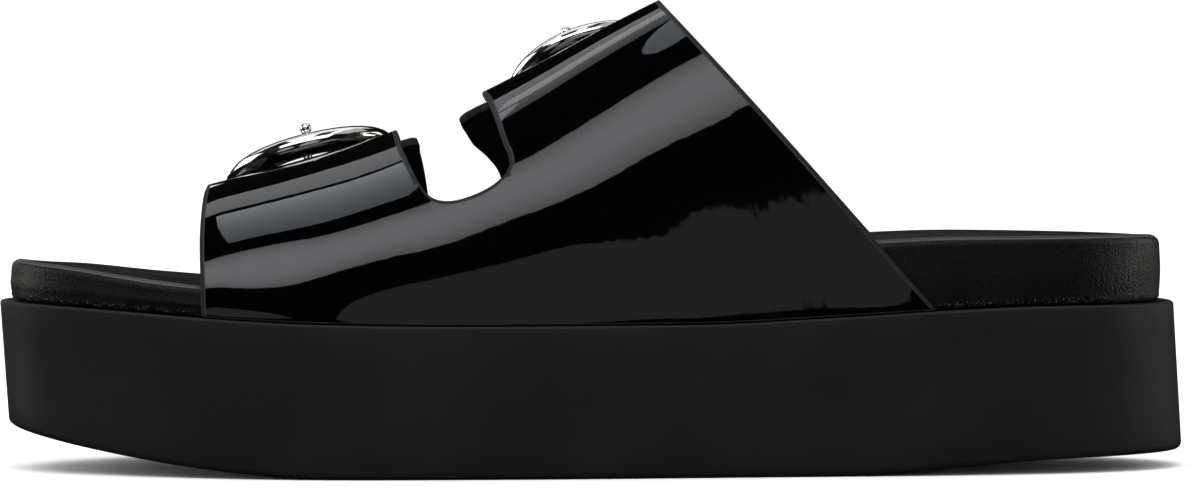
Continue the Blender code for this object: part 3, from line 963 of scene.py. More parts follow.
@dataclass
class Footbed:
    """The padded footbed: an upright side, a rolled rim with a sewn-down edge and a foot-shaped hollow."""

    steps: int = 10
    # Rows of the foot: inset, rise and share of the bright specks painted there as glints.
    foot_rows: tuple[Triple, ...] = (
        (0.9, 0.0, 1.0),
        (0.35, 0.2, 1.0),
        (0.0, 0.9, 0.8),
        (0.0, 1.7, 0.0),
    )
    wall_shares: Shares = (0.2, 0.4, 0.6, 0.8)
    belly: float = 0.25
    roll_wide: float = 2.0
    roll_high: float = 2.3
    roll_steps: int = 18
    flat_steps: int = 28
    top_inset: float = 6.4
    top_drop: float = 0.9
    top_columns: int = 40
    seam_insets: Shares = (0.8, 1.45, 2.3)
    seam_depth: float = 0.12
    seam_half: float = 0.26
    hollow_run: float = 22.0
    arch_rise: float = 2.2
    arch_centre: float = 18.0
    arch_reach: float = 40.0
    medial_rise: float = 1.2
    rise_to_heel: Pair = (10.0, 60.0)
    rise_to_toe: Pair = (55.0, 90.0)
    rise_to_side: Pair = (-12.0, 16.0)
    nearest: float = 0.01
    fill: float = 0.85

    def __post_init__(self) -> None:
        """Finds the plan of the side."""
        self.outline = inset_loop(plan_outline(self.steps), footbed_inset)

    def side(self, inset: float, height: Callable[[float], float]) -> list[Vector]:
        """One loop of the side, inside its plan, from the heights along the foot."""
        return [Vector((p.x, p.y, height(p.x))) for p in inset_loop(self.outline, lambda x: inset)]

    def wall(self, x: float, share: float) -> float:
        """Height at a share of the upright side, between its foot and the roll."""
        low, high = sole_top(x) + SEAT_GAP + self.foot_rows[-1][1], footbed_rim(x) - self.roll_high
        return low + (high - low) * share

    def lift(self, x: float, y: float) -> float:
        """Extra height of the medial rim towards the heel and the toe."""
        ends = max(smooth_step(*self.rise_to_heel, x), smooth_step(*self.rise_to_toe, -x))
        return self.medial_rise * ends * smooth_step(*self.rise_to_side, -y)

    def height(self, point: Vector, share: float, half: float) -> float:
        """Top of the footbed inside its rim.

        Args:
            point: Point on the plan.
            share: Share across, from the medial edge of the hollow to the lateral one.
            half: Half of the hollow's width there.

        Returns:
            The height.
        """
        across = share * 2 - 1
        from_side = max(half * (1 - abs(across)), self.nearest)
        from_end = max(min(point.x - TOE_TIP[0], HEEL_TIP[0] - point.x) - self.top_inset, self.nearest)
        depth = 1 / sqrt(1 / from_side ** 2 + 1 / from_end ** 2)
        reach = min(depth / self.hollow_run, 1.0)
        hollow = (footbed_hollow(point.x) - self.top_drop) * (1 - (1 - reach) ** 2)
        arch = max(0.0, 1 - ((point.x - self.arch_centre) / self.arch_reach) ** 2)
        rise = self.arch_rise * arch ** 2 * sin(pi * max(-across, 0.0)) ** 2
        near = self.lift(point.x, point.y) * (1 - reach) ** 2
        return footbed_rim(point.x) - self.top_drop - hollow + rise + near

    def profile(self) -> list[Triple]:
        """Section of the rim from the top of the side over the roll to the hollow.

        Returns:
            Insets, drops and shares of the paler colour that the seams get as a painted highlight.
        """
        rows = []
        for k in range(self.roll_steps):
            angle = pi / 2 * k / self.roll_steps
            rows.append((self.roll_wide * (1 - cos(angle)), self.roll_high * (1 - sin(angle))))
        flat = self.top_inset - self.roll_wide
        for k in range(self.flat_steps + 1):
            share = k / self.flat_steps
            rows.append((self.roll_wide + flat * share, self.top_drop * share ** 2))
        points = []
        for inset, drop in rows:
            # The seams are shallow grooves; the same share paints them pale as a highlight.
            cut = sum(max(0.0, 1 - ((inset - seam) / self.seam_half) ** 2) for seam in self.seam_insets)
            points.append((inset, drop + self.seam_depth * cut, cut))
        return points

    def build(self, finish: Material) -> None:
        """Builds and dresses the footbed.

        Args:
            finish: Its material.
        """
        loft = Loft(len(self.outline))
        for inset, rise, crumbs in self.foot_rows:
            foot = self.side(inset, lambda x, rise=rise: sole_top(x) + SEAT_GAP + rise)
            loft.add(foot, crumbs=crumbs)
        for share in self.wall_shares:
            loft.add(self.side(-self.belly * sin(pi * share), lambda x, share=share: self.wall(x, share)))
        for inset, drop, lines in self.profile():
            rim = self.side(inset, lambda x, drop=drop: footbed_rim(x) - drop)
            loft.add([(x, y, z + self.lift(x, y)) for x, y, z in rim], lines=lines)
        loft.cap(0)
        loft.cap(-1, self.top_columns, self.height)
        piece = show(loft.finish("footbed_dressed"), "footbed_leather", [finish], "footbed")


# Upper


class FootForm:
    """The form that the leather is pulled over: an elliptic arch at every section of the foot.

    A position on it is x along the foot and turn, which runs from -1 at the medial foot of the arch
    over 0 at the crest to 1 at the lateral foot.
    """

    HALF_LENGTH, STEP = 150.0, 0.5
    EASE = 5.0
    PLAN_STEPS = 12
    NUDGE, TURN_NUDGE = 0.6, 0.01
    RISE_SAMPLES, TURN_SAMPLES, ARC_SAMPLES = 41, 401, 81

    def __init__(self) -> None:
        """Tabulates the sections along a grid of positions."""
        self.grid = np.arange(-self.HALF_LENGTH, self.HALF_LENGTH + self.STEP / 2, self.STEP)
        outline = inset_loop(plan_outline(self.PLAN_STEPS), footbed_inset)
        half = len(outline) // 2
        medial = sorted((p.x, p.y - PANEL_GAP + STRAP_LAYER) for p in outline[2:half - 1])
        lateral = sorted((p.x, p.y + PANEL_GAP - TAB_LAYER) for p in outline[half + 2:-1])
        height, offset = UPPER_CREST.curve("height"), UPPER_CREST.curve("offset")
        self.medial = self.eased(np.interp(self.grid, *zip(*medial)))
        self.lateral = self.eased(np.interp(self.grid, *zip(*lateral)))
        self.crest = self.eased([offset(x) for x in self.grid])
        self.foot = self.eased([sole_top(x) + SEAT_GAP for x in self.grid])
        self.top = self.eased([height(x) - UPPER_TOP for x in self.grid])

    def eased(self, values: Sequence[float]) -> np.ndarray:
        """Evens out a table along the foot with a bell-shaped weight.

        Args:
            values: One value for each position of the grid.

        Returns:
            The evened values.
        """
        reach = int(3 * self.EASE / self.STEP)
        weights = np.exp(-0.5 * (np.arange(-reach, reach + 1) * self.STEP / self.EASE) ** 2)
        return np.convolve(np.pad(values, reach, mode="edge"), weights / weights.sum(), mode="valid")

    def base(self, x: np.ndarray, turn: np.ndarray) -> np.ndarray:
        """Points on the form.

        Args:
            x: Positions along the foot.
            turn: Turns at those positions.

        Returns:
            One point for each pair.
        """
        tables = (self.medial, self.lateral, self.crest, self.foot, self.top)
        medial, lateral, crest, foot, top = (np.interp(x, self.grid, table) for table in tables)
        wide = np.abs(np.where(turn > 0, lateral, medial) - crest)
        angle = turn * (pi / 2)
        return np.stack([x, crest + wide * np.sin(angle), foot + (top - foot) * np.cos(angle)], -1)

    def normal(self, x: np.ndarray, turn: np.ndarray) -> np.ndarray:
        """Outward directions on the form.

        Args:
            x: Positions along the foot.
            turn: Turns at those positions.

        Returns:
            One direction of length 1 for each pair.
        """
        along = self.base(x + self.NUDGE, turn) - self.base(x - self.NUDGE, turn)
        across = self.base(x, turn + self.TURN_NUDGE) - self.base(x, turn - self.TURN_NUDGE)
        out = np.cross(along, across)
        return out / np.linalg.norm(out, axis=-1, keepdims=True)

    def point(self, x: np.ndarray, turn: np.ndarray, height: np.ndarray) -> np.ndarray:
        """Points at a height above the form."""
        return self.base(x, turn) + self.normal(x, turn) * np.asarray(height)[..., None]

    def rise(self, x: float) -> float:
        """Length of the medial half of a section, from the foot to the crest."""
        points = self.base(np.full(self.RISE_SAMPLES, x), np.linspace(-1.0, 0.0, self.RISE_SAMPLES))
        return float(np.linalg.norm(np.diff(points, axis=0), axis=1).sum())

    def turn_at(self, x: float, z: float, side: Side, height: float) -> float:
        """Finds where a layer's outer face is at height z.

        Args:
            x: Position along the foot.
            z: Height over the floor.
            side: Side of the foot.
            height: Height of the face above the form.

        Returns:
            Size of the turn there.
        """
        turns = np.linspace(0.0, 1.0, self.TURN_SAMPLES)
        faces = self.point(np.full_like(turns, x), turns * side.value, np.full_like(turns, height))
        return float(np.interp(-z, -faces[:, 2], turns))

    def arc(self, x: float, distance: float) -> float:
        """Walks from the crest down the lateral side of a section.

        Args:
            x: Position along the foot.
            distance: Length of the way.

        Returns:
            Turn at its end.
        """
        turns = np.linspace(0.0, 1.0, self.ARC_SAMPLES)
        points = self.base(np.full_like(turns, x), turns)
        lengths = np.concatenate([[0.0], np.cumsum(np.linalg.norm(np.diff(points, axis=0), axis=1))])
        return float(np.interp(distance, lengths, turns))


class StrapEnd(NamedTuple):
    """Row past a strap's side panel: its climb and its two ends along the foot."""

    climb: float
    low: float
    high: float


class Panel:
    """One leather layer of the upper: a side panel that parts into two straps above a notch.

    It is cut flat in pattern coordinates, x and climb, where climb is 0 at the panel's foot, 1 on the
    crest and more beyond it, and is then bent over the form.
    """

    FRONT_COLUMNS, REAR_COLUMNS = 34, 50
    LOWER_ROWS, CLIMB_ROWS = 26, 22
    FLOOR_STEPS, FLOOR_SCALE = 4, 60.0
    REAR_REACH, REAR_SAMPLES, REAR_CLIMBS = (5.0, 90.0), 341, 41
    RIM, RIM_LINE = 0.85, 0.3
    WELD, FOOT_LINE = 0.0004, 0.001
    EDGE_ROLL, ROLL_REACH = 0.22, 4.0
    ROUND_OVER, ROUND_STEPS = 0.7, 3

    def __init__(
        self, form: FootForm, side: Side, layer: float, notch: Notch, swells: Sequence[Swell]
    ) -> None:
        """Works out the edges of the pattern.

        Args:
            form: Form that the panel is bent over.
            side: Side of the foot that it rises from.
            layer: Height of its inner face above the form.
            notch: Cut-out between its straps.
            swells: Soft ridges and troughs in its leather.
        """
        self.form, self.side, self.layer, self.swells = form, side, layer, swells
        self.face = layer + LEATHER
        self.front, floor, self.rear = ([self.pattern_point(*p) for p in edge] for edge in notch)
        control = [Vector((x, c * self.FLOOR_SCALE)) for x, c in [self.front[0], *floor, self.rear[0]]]
        flow = flowing_points(control, self.FLOOR_STEPS, False)
        self.floor = [(p.x, p.y / self.FLOOR_SCALE) for p in flow]
        self.front_curve, self.rear_curve = (
            Curve([c for _, c in edge], [x for x, _ in edge]) for edge in (self.front, self.rear)
        )
        climbs = np.linspace(0.0, 1.0, self.REAR_CLIMBS)
        self.rear_table = (climbs, np.array([self.find_rear_edge(c) for c in climbs]))

    def pattern_point(self, x: float, z: float) -> Pair:
        """Pattern coordinates of a point seen from the side."""
        return x, 1 - self.form.turn_at(x, z, self.side, self.face)

    def find_rear_edge(self, climb: float) -> float:
        """Finds where the straight slanting rear edge crosses a climb.

        Args:
            climb: Climb in the pattern.

        Returns:
            Position along the foot.
        """
        xs = np.linspace(*self.REAR_REACH, self.REAR_SAMPLES)
        turn = np.full_like(xs, self.side.value * (1 - climb))
        heights = self.form.point(xs, turn, np.full_like(xs, self.face))[:, 2]
        (top_x, top_z), (foot_x, foot_z) = REAR_EDGE_TOP, REAR_EDGE_FOOT
        share = (xs - top_x) / (foot_x - top_x)
        line = top_z + share * (foot_z - top_z) - (UPPER_TOP - self.face) * climb
        return float(np.interp(0.0, heights - line, xs))

    def rear_edge(self, climb: float) -> float:
        """Rear edge at a climb; beyond the crest it stays where it crosses it."""
        return float(np.interp(climb, *self.rear_table))

    def front_span(self, climb: float) -> Pair:
        """Front strap's two edges at a climb."""
        return FRONT_EDGE + front_bow(climb), self.front_curve(climb)

    def rear_span(self, climb: float) -> Pair:
        """Rear strap's two edges at a climb."""
        return self.rear_curve(climb), self.rear_edge(climb)

    def spread(self, low: float, high: float, columns: int) -> list[float]:
        """Columns of a row, with narrow ones along both cut edges for their paint.

        Args:
            low: First edge.
            high: Last edge.
            columns: Number of columns.

        Returns:
            Positions along the foot.
        """
        wide = self.RIM + self.RIM_LINE
        middle = np.linspace(low + wide, high - wide, columns - 3)
        return [low, low + self.RIM, *middle, high - self.RIM, high]

    def lower_rows(self) -> Rows:
        """Cuts the side panel.

        Returns:
            Rows from the foot to the line through the notch floor.
        """
        (start, start_climb), (end, end_climb) = self.front[0], self.rear[0]
        drop = 1.0 / (self.form.rise(start) * start_climb)
        last = 1 - drop * (self.RIM + self.RIM_LINE)
        rows = []
        for t in [*np.linspace(0.0, last, self.LOWER_ROWS - 1), 1 - drop * self.RIM, 1.0]:
            front = self.spread(self.front_span(t * start_climb)[0], start, self.FRONT_COLUMNS)
            rear = self.spread(end, self.rear_edge(t * end_climb), self.REAR_COLUMNS)
            row = [(x, t * start_climb) for x in front[:-1]] + [(x, t * top) for x, top in self.floor[:-1]]
            rows.append(row + [(x, t * end_climb) for x in rear])
        return rows

    def strap_rows(self, span: Span, start: float, columns: int, ends: Sequence[StrapEnd]) -> Rows:
        """Cuts a strap.

        Args:
            span: The strap's two edges at a climb.
            start: Climb of the first row.
            columns: Columns along the foot.
            ends: Rows past the last climb.

        Returns:
            The rows, the first of which lies on the notch line.
        """
        climbs = np.linspace(start, min(1.0, ends[0].climb), self.CLIMB_ROWS + 1)[:-1]
        rows = [StrapEnd(climb, *span(climb)) for climb in climbs] + list(ends)
        return [[(x, row.climb) for x in self.spread(row.low, row.high, columns)] for row in rows]

    @staticmethod
    def add_patch(bm: BMesh, rows: Rows) -> None:
        """Adds a grid of leather.

        Args:
            bm: Mesh of the flat pattern.
            rows: Pattern points for its vertices.
        """
        down, across = len(rows) - 1, len(rows[0]) - 1
        grid = bmesh.ops.create_grid(bm, x_segments=across, y_segments=down, size=0.5)["verts"]
        for vert in grid:
            i, j = round((vert.co.x + 0.5) * across), round((vert.co.y + 0.5) * down)
            vert.co = (*rows[j][i], 0.0)

    def swell(self, x: np.ndarray, climb: np.ndarray) -> np.ndarray:
        """Height of the soft ridges and troughs.

        Args:
            x: Positions along the foot.
            climb: Climbs at those positions.

        Returns:
            One height for each pair.
        """
        height = np.zeros_like(x)
        for s in self.swells:
            height += s.height * np.exp(-((x - s.x) / s.along) ** 2 - ((climb - s.climb) / s.up) ** 2)
        return height

    def bend(self, bm: BMesh) -> None:
        """Bends the flat pattern over the form and presses its front edge down a little.

        Args:
            bm: Plate in pattern coordinates; its vertices' z is 0 inside and 1 outside.
        """
        x, climb, outer = np.array([v.co for v in bm.verts]).T
        edge = np.array([self.front_span(c)[0] for c in climb])
        near = np.clip(1 - (x - edge) / self.ROLL_REACH, 0.0, 1.0) * (climb < 1.0)
        height = self.layer + outer * LEATHER + self.swell(x, climb) - self.EDGE_ROLL * near ** 2
        for vert, point in zip(bm.verts, self.form.point(x, self.side.value * (1 - climb), height)):
            vert.co = Vector(point) * MM

    def thicken(self, bm: BMesh) -> list[BMEdge]:
        """Makes the flat pattern a plate and sorts its faces by Skin.

        Args:
            bm: Mesh of the flat pattern.

        Returns:
            The edges between its faces and its cut sides.
        """
        inside = set(bm.faces)
        grown = bmesh.ops.extrude_face_region(bm, geom=list(bm.faces))["geom"]
        outside = {e for e in grown if isinstance(e, BMFace)}
        for vert in (e for e in grown if isinstance(e, BMVert)):
            vert.co.z = 1.0
        sides = [f for f in bm.faces if f not in inside and f not in outside]
        cut = {v for f in sides for v in f.verts if v.co.y > self.FOOT_LINE}
        paint = {f for f in outside if cut & set(f.verts)}
        beside = {v for f in paint for v in f.verts}
        # Faces beside the painted edge take the paler colour of a painted highlight.
        line = {f for f in outside - paint if beside & set(f.verts)}
        for faces, skin in (
            (inside, Skin.LINING),
            (outside, Skin.OUTSIDE),
            (line, Skin.EDGE_HIGHLIGHT),
            (paint, Skin.CUT_EDGE),
            (sides, Skin.CUT_EDGE),
        ):
            for face in faces:
                face.material_index = skin.value
        return [e for f in sides for e in f.edges if len({round(v.co.z) for v in e.verts}) == 1]

    def build(self, name: str, ends: tuple[Sequence[StrapEnd], Sequence[StrapEnd]]) -> Mesh:
        """Cuts, thickens, bends and rounds the panel.

        Args:
            name: Name of the mesh.
            ends: Rows past the front and the rear strap.

        Returns:
            The mesh, with its faces sorted by Skin.
        """
        bm = bmesh.new()
        self.add_patch(bm, self.lower_rows())
        self.add_patch(bm, self.strap_rows(self.front_span, self.front[0][1], self.FRONT_COLUMNS, ends[0]))
        self.add_patch(bm, self.strap_rows(self.rear_span, self.rear[0][1], self.REAR_COLUMNS, ends[1]))
        bmesh.ops.remove_doubles(bm, verts=bm.verts, dist=self.WELD)
        rims = self.thicken(bm)
        self.bend(bm)
        bmesh.ops.recalc_face_normals(bm, faces=bm.faces)
        rounded = bmesh.ops.bevel(
            bm, geom=rims, affect="EDGES", offset=self.ROUND_OVER * MM, offset_type="OFFSET",
            segments=self.ROUND_STEPS, profile=0.5, material=-1, clamp_overlap=True,
        )
        for face in rounded["faces"]:
            face.material_index = Skin.CUT_EDGE.value
        return smooth_mesh(bm, name)


@dataclass
class Upper:
    """The patent upper: the medial panel with both straps, over the tabs of the lateral panel."""

    form: FootForm
    front_tab_end: float = 14.0
    rear_tab_end: float = 12.0
    tab_corner: float = 4.0
    corner_shares: Shares = (1.0, 0.8, 0.6, 0.4, 0.2, 0.0)
    shoulder_rows: int = 10
    tongue_rows: int = 18
    tip_shares: Shares = (0.22, 0.42, 0.6, 0.74, 0.85, 0.94)

    def tongue(self, span: Span, tongue: Tongue) -> list[StrapEnd]:
        """Rows of a strap past the crest: full width, shoulders, tongue and rounded tip.

        Args:
            span: The strap's two edges at a climb.
            tongue: Sizes of the strap's end.

        Returns:
            The rows in order.
        """
        low, high = span(1.0)
        tip = tongue.length - tongue.half_width
        distances = list(np.linspace(0.0, tongue.shoulder_end, self.shoulder_rows))
        distances += list(np.linspace(tongue.shoulder_end, tip, self.tongue_rows)[1:])
        distances += [tip + tongue.half_width * share for share in self.tip_shares]
        rows = []
        for distance in distances:
            taper = smooth_step(tongue.shoulder_start, tongue.shoulder_end, distance)
            past = max(0.0, (distance - tip) / tongue.half_width)
            half = tongue.half_width * sqrt(1 - past * past)
            climb = 1 + self.form.arc(tongue.centre, distance)
            start = low + taper * (tongue.centre - half - low)
            end = high + taper * (tongue.centre + half - high)
            rows.append(StrapEnd(climb, start, end))
        return rows

    def tab(self, span: Span, centre: float, end: float) -> list[StrapEnd]:
        """Rows of a tab that stops short of the crest with rounded corners.

        Args:
            span: The tab's two edges at a climb.
            centre: Position along the foot where its length is measured.
            end: Distance from the crest where it stops.

        Returns:
            The rows in order.
        """
        rows = []
        for share in self.corner_shares:
            climb = 1 - self.form.arc(centre, end + self.tab_corner * share)
            low, high = span(climb)
            cut = self.tab_corner * (1 - sqrt(1 - (1 - share) ** 2))
            rows.append(StrapEnd(climb, low + cut, high - cut))
        return rows

    def build(self, skins: Sequence[Material]) -> None:
        """Builds and dresses both layers.

        Args:
            skins: Materials in the order of Skin.
        """
        medial = Panel(self.form, Side.MEDIAL, STRAP_LAYER, MEDIAL_NOTCH, MEDIAL_SWELLS)
        lateral = Panel(self.form, Side.LATERAL, TAB_LAYER, LATERAL_NOTCH, ())
        tongues = self.tongue(medial.front_span, FRONT_TONGUE), self.tongue(medial.rear_span, REAR_TONGUE)
        tabs = (
            self.tab(lateral.front_span, FRONT_TONGUE.centre, self.front_tab_end),
            self.tab(lateral.rear_span, REAR_TONGUE.centre, self.rear_tab_end),
        )
        show(medial.build("strap_panel", tongues), "patent_leather", skins, "upper")
        show(lateral.build("tab_panel", tabs), "patent_leather", skins, "upper")


# Buckles


@dataclass
class RingBuckle:
    """A domed, slightly curved ring that rests on a strap, with a prong across it that ends in a ball."""

    form: FootForm
    name: str
    centre: float
    across: float
    lift: float
    bend: float = 0.008
    radius: float = 15.6
    half_width: float = 4.2
    half_height: float = 2.45
    fullness: float = 0.85
    section_steps: int = 24
    ring_steps: int = 96
    ring_weld: float = 0.001
    prong_radius: float = 1.0
    prong_dip: float = 0.1
    prong_sides: int = 20
    hook_steps: int = 12
    bar_steps: int = 20
    ball_radius: float = 1.3
    ball_steps: tuple[int, int] = (28, 18)

    def __post_init__(self) -> None:
        """Finds the ring's own frame on the form."""
        x = self.centre + np.array([-self.form.NUDGE, 0.0, self.form.NUDGE])
        turn = np.full_like(x, self.form.arc(self.centre, self.across))
        before, middle, after = (Vector(p) for p in self.form.base(x, turn))
        self.up = Vector(self.form.normal(x, turn)[1])
        self.origin = middle + self.up * self.lift
        self.ahead = (after - before).normalized()
        self.aside = self.up.cross(self.ahead)

    def place(self, along: float, across: float, height: float) -> Vector:
        """Point in space from the ring's own coordinates."""
        drop = self.bend * across * across / 2
        return self.origin + self.ahead * along + self.aside * across + self.up * (height - drop)

    def ring(self, finish: Material) -> None:
        """Builds and dresses the ring.

        Args:
            finish: Its material.
        """
        bm = bmesh.new()
        bmesh.ops.create_circle(bm, cap_ends=False, segments=self.section_steps, radius=1.0)
        for vert in bm.verts:
            wide, high = (copysign(abs(value) ** self.fullness, value) for value in vert.co.xy)
            vert.co = (self.radius + wide * self.half_width, 0.0, high * self.half_height)
        bmesh.ops.spin(
            bm, geom=[*bm.verts, *bm.edges], cent=(0, 0, 0), axis=(0, 0, 1), angle=2 * pi,
            steps=self.ring_steps, use_merge=True,
        )
        bmesh.ops.remove_doubles(bm, verts=bm.verts, dist=self.ring_weld)
        bmesh.ops.recalc_face_normals(bm, faces=bm.faces)
        for vert in bm.verts:
            vert.co = self.place(vert.co.x, vert.co.y, self.half_height + vert.co.z) * MM
        show(smooth_mesh(bm, self.name + "_ring_polished"), "buckle_metal", [finish], self.name + "_ring")

    def path(self) -> list[Triple]:
        """Centre line of the prong from its hook to under its ball.

        Returns:
            Points in the ring's own coordinates.
        """
        clear = self.prong_radius + SEAT_GAP
        top = 2 * self.half_height + clear
        points = []
        for step in range(self.hook_steps + 1):
            angle = pi / 2 * step / self.hook_steps
            across = self.radius + (self.half_width + clear) * cos(angle)
            points.append((0.0, across, self.half_height + (self.half_height + clear) * sin(angle)))
        reach = self.radius - SEAT_GAP
        for step in range(1, self.bar_steps + 1):
            across = self.radius - (self.radius + reach) * step / self.bar_steps
            points.append((0.0, across, top - self.prong_dip * step / self.bar_steps))
        return points

    def prong(self, finish: Material) -> None:
        """Builds and dresses the prong.

        Args:
            finish: Its material.
        """
        path = self.path()
        centres = [self.place(*p) for p in path]
        turns = [2 * pi * n / self.prong_sides for n in range(self.prong_sides)]
        loft = Loft(self.prong_sides)
        side = Vector((1.0, 0.0, 0.0))
        for before, centre, after in zip([centres[0], *centres], centres, [*centres[1:], centres[-1]]):
            ahead = (after - before).normalized()
            u = (side - ahead * side.dot(ahead)).normalized()
            v = ahead.cross(u)
            loft.add([centre + (u * cos(a) + v * sin(a)) * self.prong_radius for a in turns])
        loft.cap(0)
        loft.cap(-1)
        along, across, height = path[-1]
        around, upward = self.ball_steps
        ball = bmesh.ops.create_uvsphere(
            loft.bm, u_segments=around, v_segments=upward, radius=self.ball_radius * MM
        )["verts"]
        tip = self.place(along, across, height + self.ball_radius - self.prong_radius)
        bmesh.ops.translate(loft.bm, verts=ball, vec=tip * MM)
        mesh = loft.finish(self.name + "_prong_polished")
        show(mesh, "buckle_metal", [finish], self.name + "_prong")


# Studio


class SoftLight(NamedTuple):
    """A studio light panel.

    Pitch is the direction in which it hangs, seen from the shoe: 0 in front of the medial side, 90
    overhead and 180 behind. Yaw turns that direction about the upright, so -90 hangs it off the toe and
    90 off the heel. Slope and sag shape its radiance from its near to its far edge.
    """

    name: str
    x: float
    y: float
    z: float
    pitch: float
    width: float
    depth: float
    radiance: float
    colour: Triple
    shape: PanelShape = PanelShape.RECTANGLE
    yaw: float = 0.0
    slope: float = 0.0
    sag: float = 0.0


COOL, EVEN, WARM = (0.91, 0.98, 1.04), (0.98, 0.98, 1.02), (1.02, 0.98, 0.93)
LIGHTS = (
    SoftLight("front_softbox", -250.0, -589.0, 774.0, 52.0, 1200.0, 480.0, 3.1, EVEN, sag=0.45),
    SoftLight("rear_strip", -200.0, 363.0, 514.0, 131.5, 900.0, 190.0, 1.1, EVEN, slope=-0.15),
    SoftLight("toe_overhead", -102.0, -7.0, 200.0, 90.0, 66.0, 106.0, 1.8, COOL, slope=0.3),
    SoftLight("rear_overhead", -16.5, -6.0, 200.0, 90.0, 24.0, 60.0, 1.5, COOL, PanelShape.ELLIPSE),
    SoftLight("instep_overhead", -37.0, 49.0, 200.0, 90.0, 74.0, 54.0, 0.95, EVEN, slope=0.3),
    SoftLight("front_card", 132.0, -1535.0, 30.0, 2.0, 708.0, 1220.0, 0.36, EVEN, PanelShape.ELLIPSE),
    SoftLight("toe_card", -900.0, -1535.0, 75.0, 3.0, 840.0, 550.0, 0.42, EVEN, PanelShape.ELLIPSE),
    SoftLight("heel_overhead", 420.0, -35.0, 705.0, 90.0, 640.0, 700.0, 0.5, EVEN),
    SoftLight("back_paper", -660.0, 1600.0, 260.0, 171.0, 780.0, 400.0, 1.7, WARM),
    SoftLight("toe_wall", -1400.0, 420.0, 350.0, 10.0, 1100.0, 800.0, 2.6, WARM, yaw=-90.0),
    SoftLight("heel_wall", 1400.0, 420.0, 350.0, 10.0, 1100.0, 800.0, 2.8, WARM, yaw=90.0),
)


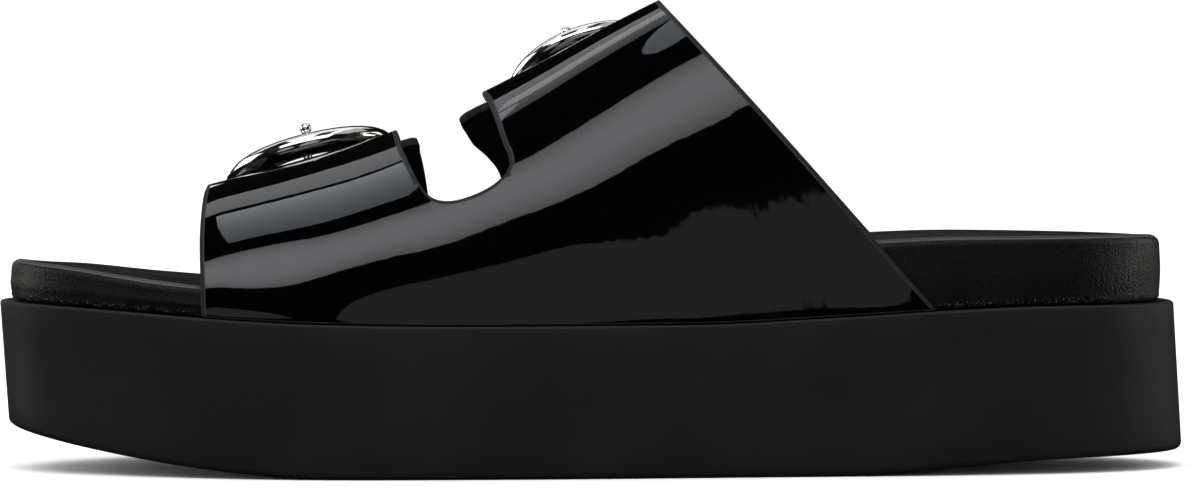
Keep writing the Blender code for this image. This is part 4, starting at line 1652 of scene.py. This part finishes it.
@dataclass
class Studio:
    """Pale floor, soft lights and the camera of the photograph; the floor and the clips are in metres."""

    eye: Triple = (0.0, -2000.0, 145.0)
    centre_ray: Triple = (0.001073, 1.0, -0.04748)
    lens: float = 265.8
    sensor: float = 36.0
    clips: Pair = (0.05, 100.0)
    fill: float = 1.2
    dark: float = 0.006
    floor_half: float = 30.0
    floor_cells: int = 8
    floor_drop: float = 0.00005

    def floor(self, finish: Material) -> None:
        """Lays the floor under the sole; it doesn't show in the gloss.

        Args:
            finish: Its material.
        """
        bm = bmesh.new()
        cells = self.floor_cells
        bmesh.ops.create_grid(bm, x_segments=cells, y_segments=cells, size=self.floor_half)
        bmesh.ops.translate(bm, verts=bm.verts, vec=(0.0, 0.0, -self.floor_drop))
        mesh = smooth_mesh(bm, "studio_floor")
        mesh.materials.append(finish)
        floor = add_object(mesh)
        floor.visible_glossy = False

    def light(self, light: SoftLight) -> None:
        """Hangs one light panel.

        Args:
            light: The panel.
        """
        angle, yaw = radians(light.pitch), radians(light.yaw)
        ahead = Vector((sin(yaw), -cos(yaw), 0.0))
        overhead = Vector((0.0, 0.0, 1.0))
        away = ahead * cos(angle) + overhead * sin(angle)
        rise = overhead * cos(angle) - ahead * sin(angle)
        data = bpy.data.lights.new(light.name, "AREA")
        data.shape = light.shape.value
        data.size, data.size_y = light.width * MM, light.depth * MM
        area = data.size * data.size_y * (pi / 4 if light.shape is PanelShape.ELLIPSE else 1.0)
        data.energy = light.radiance * area * pi
        data.color = light.colour
        lamp = add_object(data)
        lamp.location = Vector((light.x, light.y, light.z)) * MM
        lamp.rotation_mode = "QUATERNION"
        lamp.rotation_quaternion = away.to_track_quat("Z", "Y")
        lamp.visible_camera = False
        if light.slope or light.sag:
            self.shade(data, lamp.location.dot(rise), rise, light)

    @staticmethod
    def shade(data: Light, middle: float, rise: Vector, light: SoftLight) -> None:
        """Varies a panel's radiance from its near edge to its far edge.

        Args:
            data: The lamp.
            middle: Place of the panel's centre along its rise, in metres.
            rise: Direction from its near to its far edge.
            light: The panel's sizes.
        """
        data.use_nodes = True
        nodes = Nodes(data.node_tree)
        half = light.depth * MM / 2
        place = nodes.node("NewGeometry", {}).outputs["Position"]
        along = nodes.node("VectorMath", {0: place, 1: rise}, operation="DOT_PRODUCT").outputs["Value"]
        share = nodes.math("MULTIPLY_ADD", along, 1 / half, -middle / half)
        tilt = nodes.math("MULTIPLY_ADD", share, -light.sag, light.slope)
        strength = nodes.math("MULTIPLY_ADD", tilt, share, 1.0)
        nodes.feed(data.node_tree.nodes["Emission"].inputs["Strength"], strength)

    def world(self) -> None:
        """Surrounds the set with white paper that mirrors as a dark room."""
        world = bpy.data.worlds.new("studio_room")
        bpy.context.scene.world = world
        world.use_nodes = True
        nodes = Nodes(world.node_tree)
        nodes.tree.nodes.clear()
        glossy = nodes.node("LightPath", {}).outputs["Is Glossy Ray"]
        bright, dim = (
            nodes.node("Background", {"Color": WHITE, "Strength": strength}).outputs[0]
            for strength in (self.fill, self.dark)
        )
        mixed = nodes.node("MixShader", {0: glossy, 1: bright, 2: dim}).outputs[0]
        nodes.node("OutputWorld", {"Surface": mixed})

    def camera(self) -> None:
        """Sets the camera at the photograph's viewing angle."""
        data = bpy.data.cameras.new("photograph")
        data.lens, data.sensor_width = self.lens, self.sensor
        data.clip_start, data.clip_end = self.clips
        camera = add_object(data)
        camera.location = Vector(self.eye) * MM
        camera.rotation_mode = "QUATERNION"
        camera.rotation_quaternion = Vector(self.centre_ray).to_track_quat("-Z", "Y")
        bpy.context.scene.camera = camera

    def build(self, finish: Material) -> None:
        """Sets up the whole studio.

        Args:
            finish: Material of the floor.
        """
        self.camera()
        self.floor(finish)
        for light in LIGHTS:
            self.light(light)
        self.world()
        bpy.context.scene.view_settings.view_transform = "Standard"
        bpy.context.scene.view_settings.look = "None"
        LOG.info("studio: %d lights", len(LIGHTS))


def main() -> None:
    """Builds the sandal's pieces and the studio."""
    logging.basicConfig(level=logging.INFO, format="%(name)s %(message)s")
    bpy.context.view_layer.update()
    marks = Clouds(Pattern.HANDLING, octaves=5.0, start=0.36, gain=3.2)
    # Specks for the bits of adhesive that are painted bright as glints.
    crumbs = Clouds(Pattern.SPECKS, octaves=1.0, start=0.6, gain=9.0)
    shared = (LeatherGrain(), SoftRipple(), Wrinkles(), marks, crumbs)
    effects = {effect.pattern: effect.tree for effect in shared}
    form = FootForm()
    leathers = (PatentLeather(), LiningLeather(), EdgePaint(), EdgeHighlight())
    skins = [finish.material(effects) for finish in leathers]
    metal = PolishedMetal().material(effects)
    PlatformSole().build(SoleRubber().material(effects))
    Footbed().build(FootbedLeather().material(effects))
    Upper(form).build(skins)
    for buckle in (
        RingBuckle(form, "front_buckle", centre=-62.4, across=25.0, lift=3.2),
        RingBuckle(form, "rear_buckle", centre=1.2, across=31.8, lift=3.1),
    ):
        buckle.ring(metal)
        buckle.prong(metal)
    Studio().build(StudioPaper().material(effects))
    bpy.context.view_layer.update()


if __name__ == "__main__":
    main()
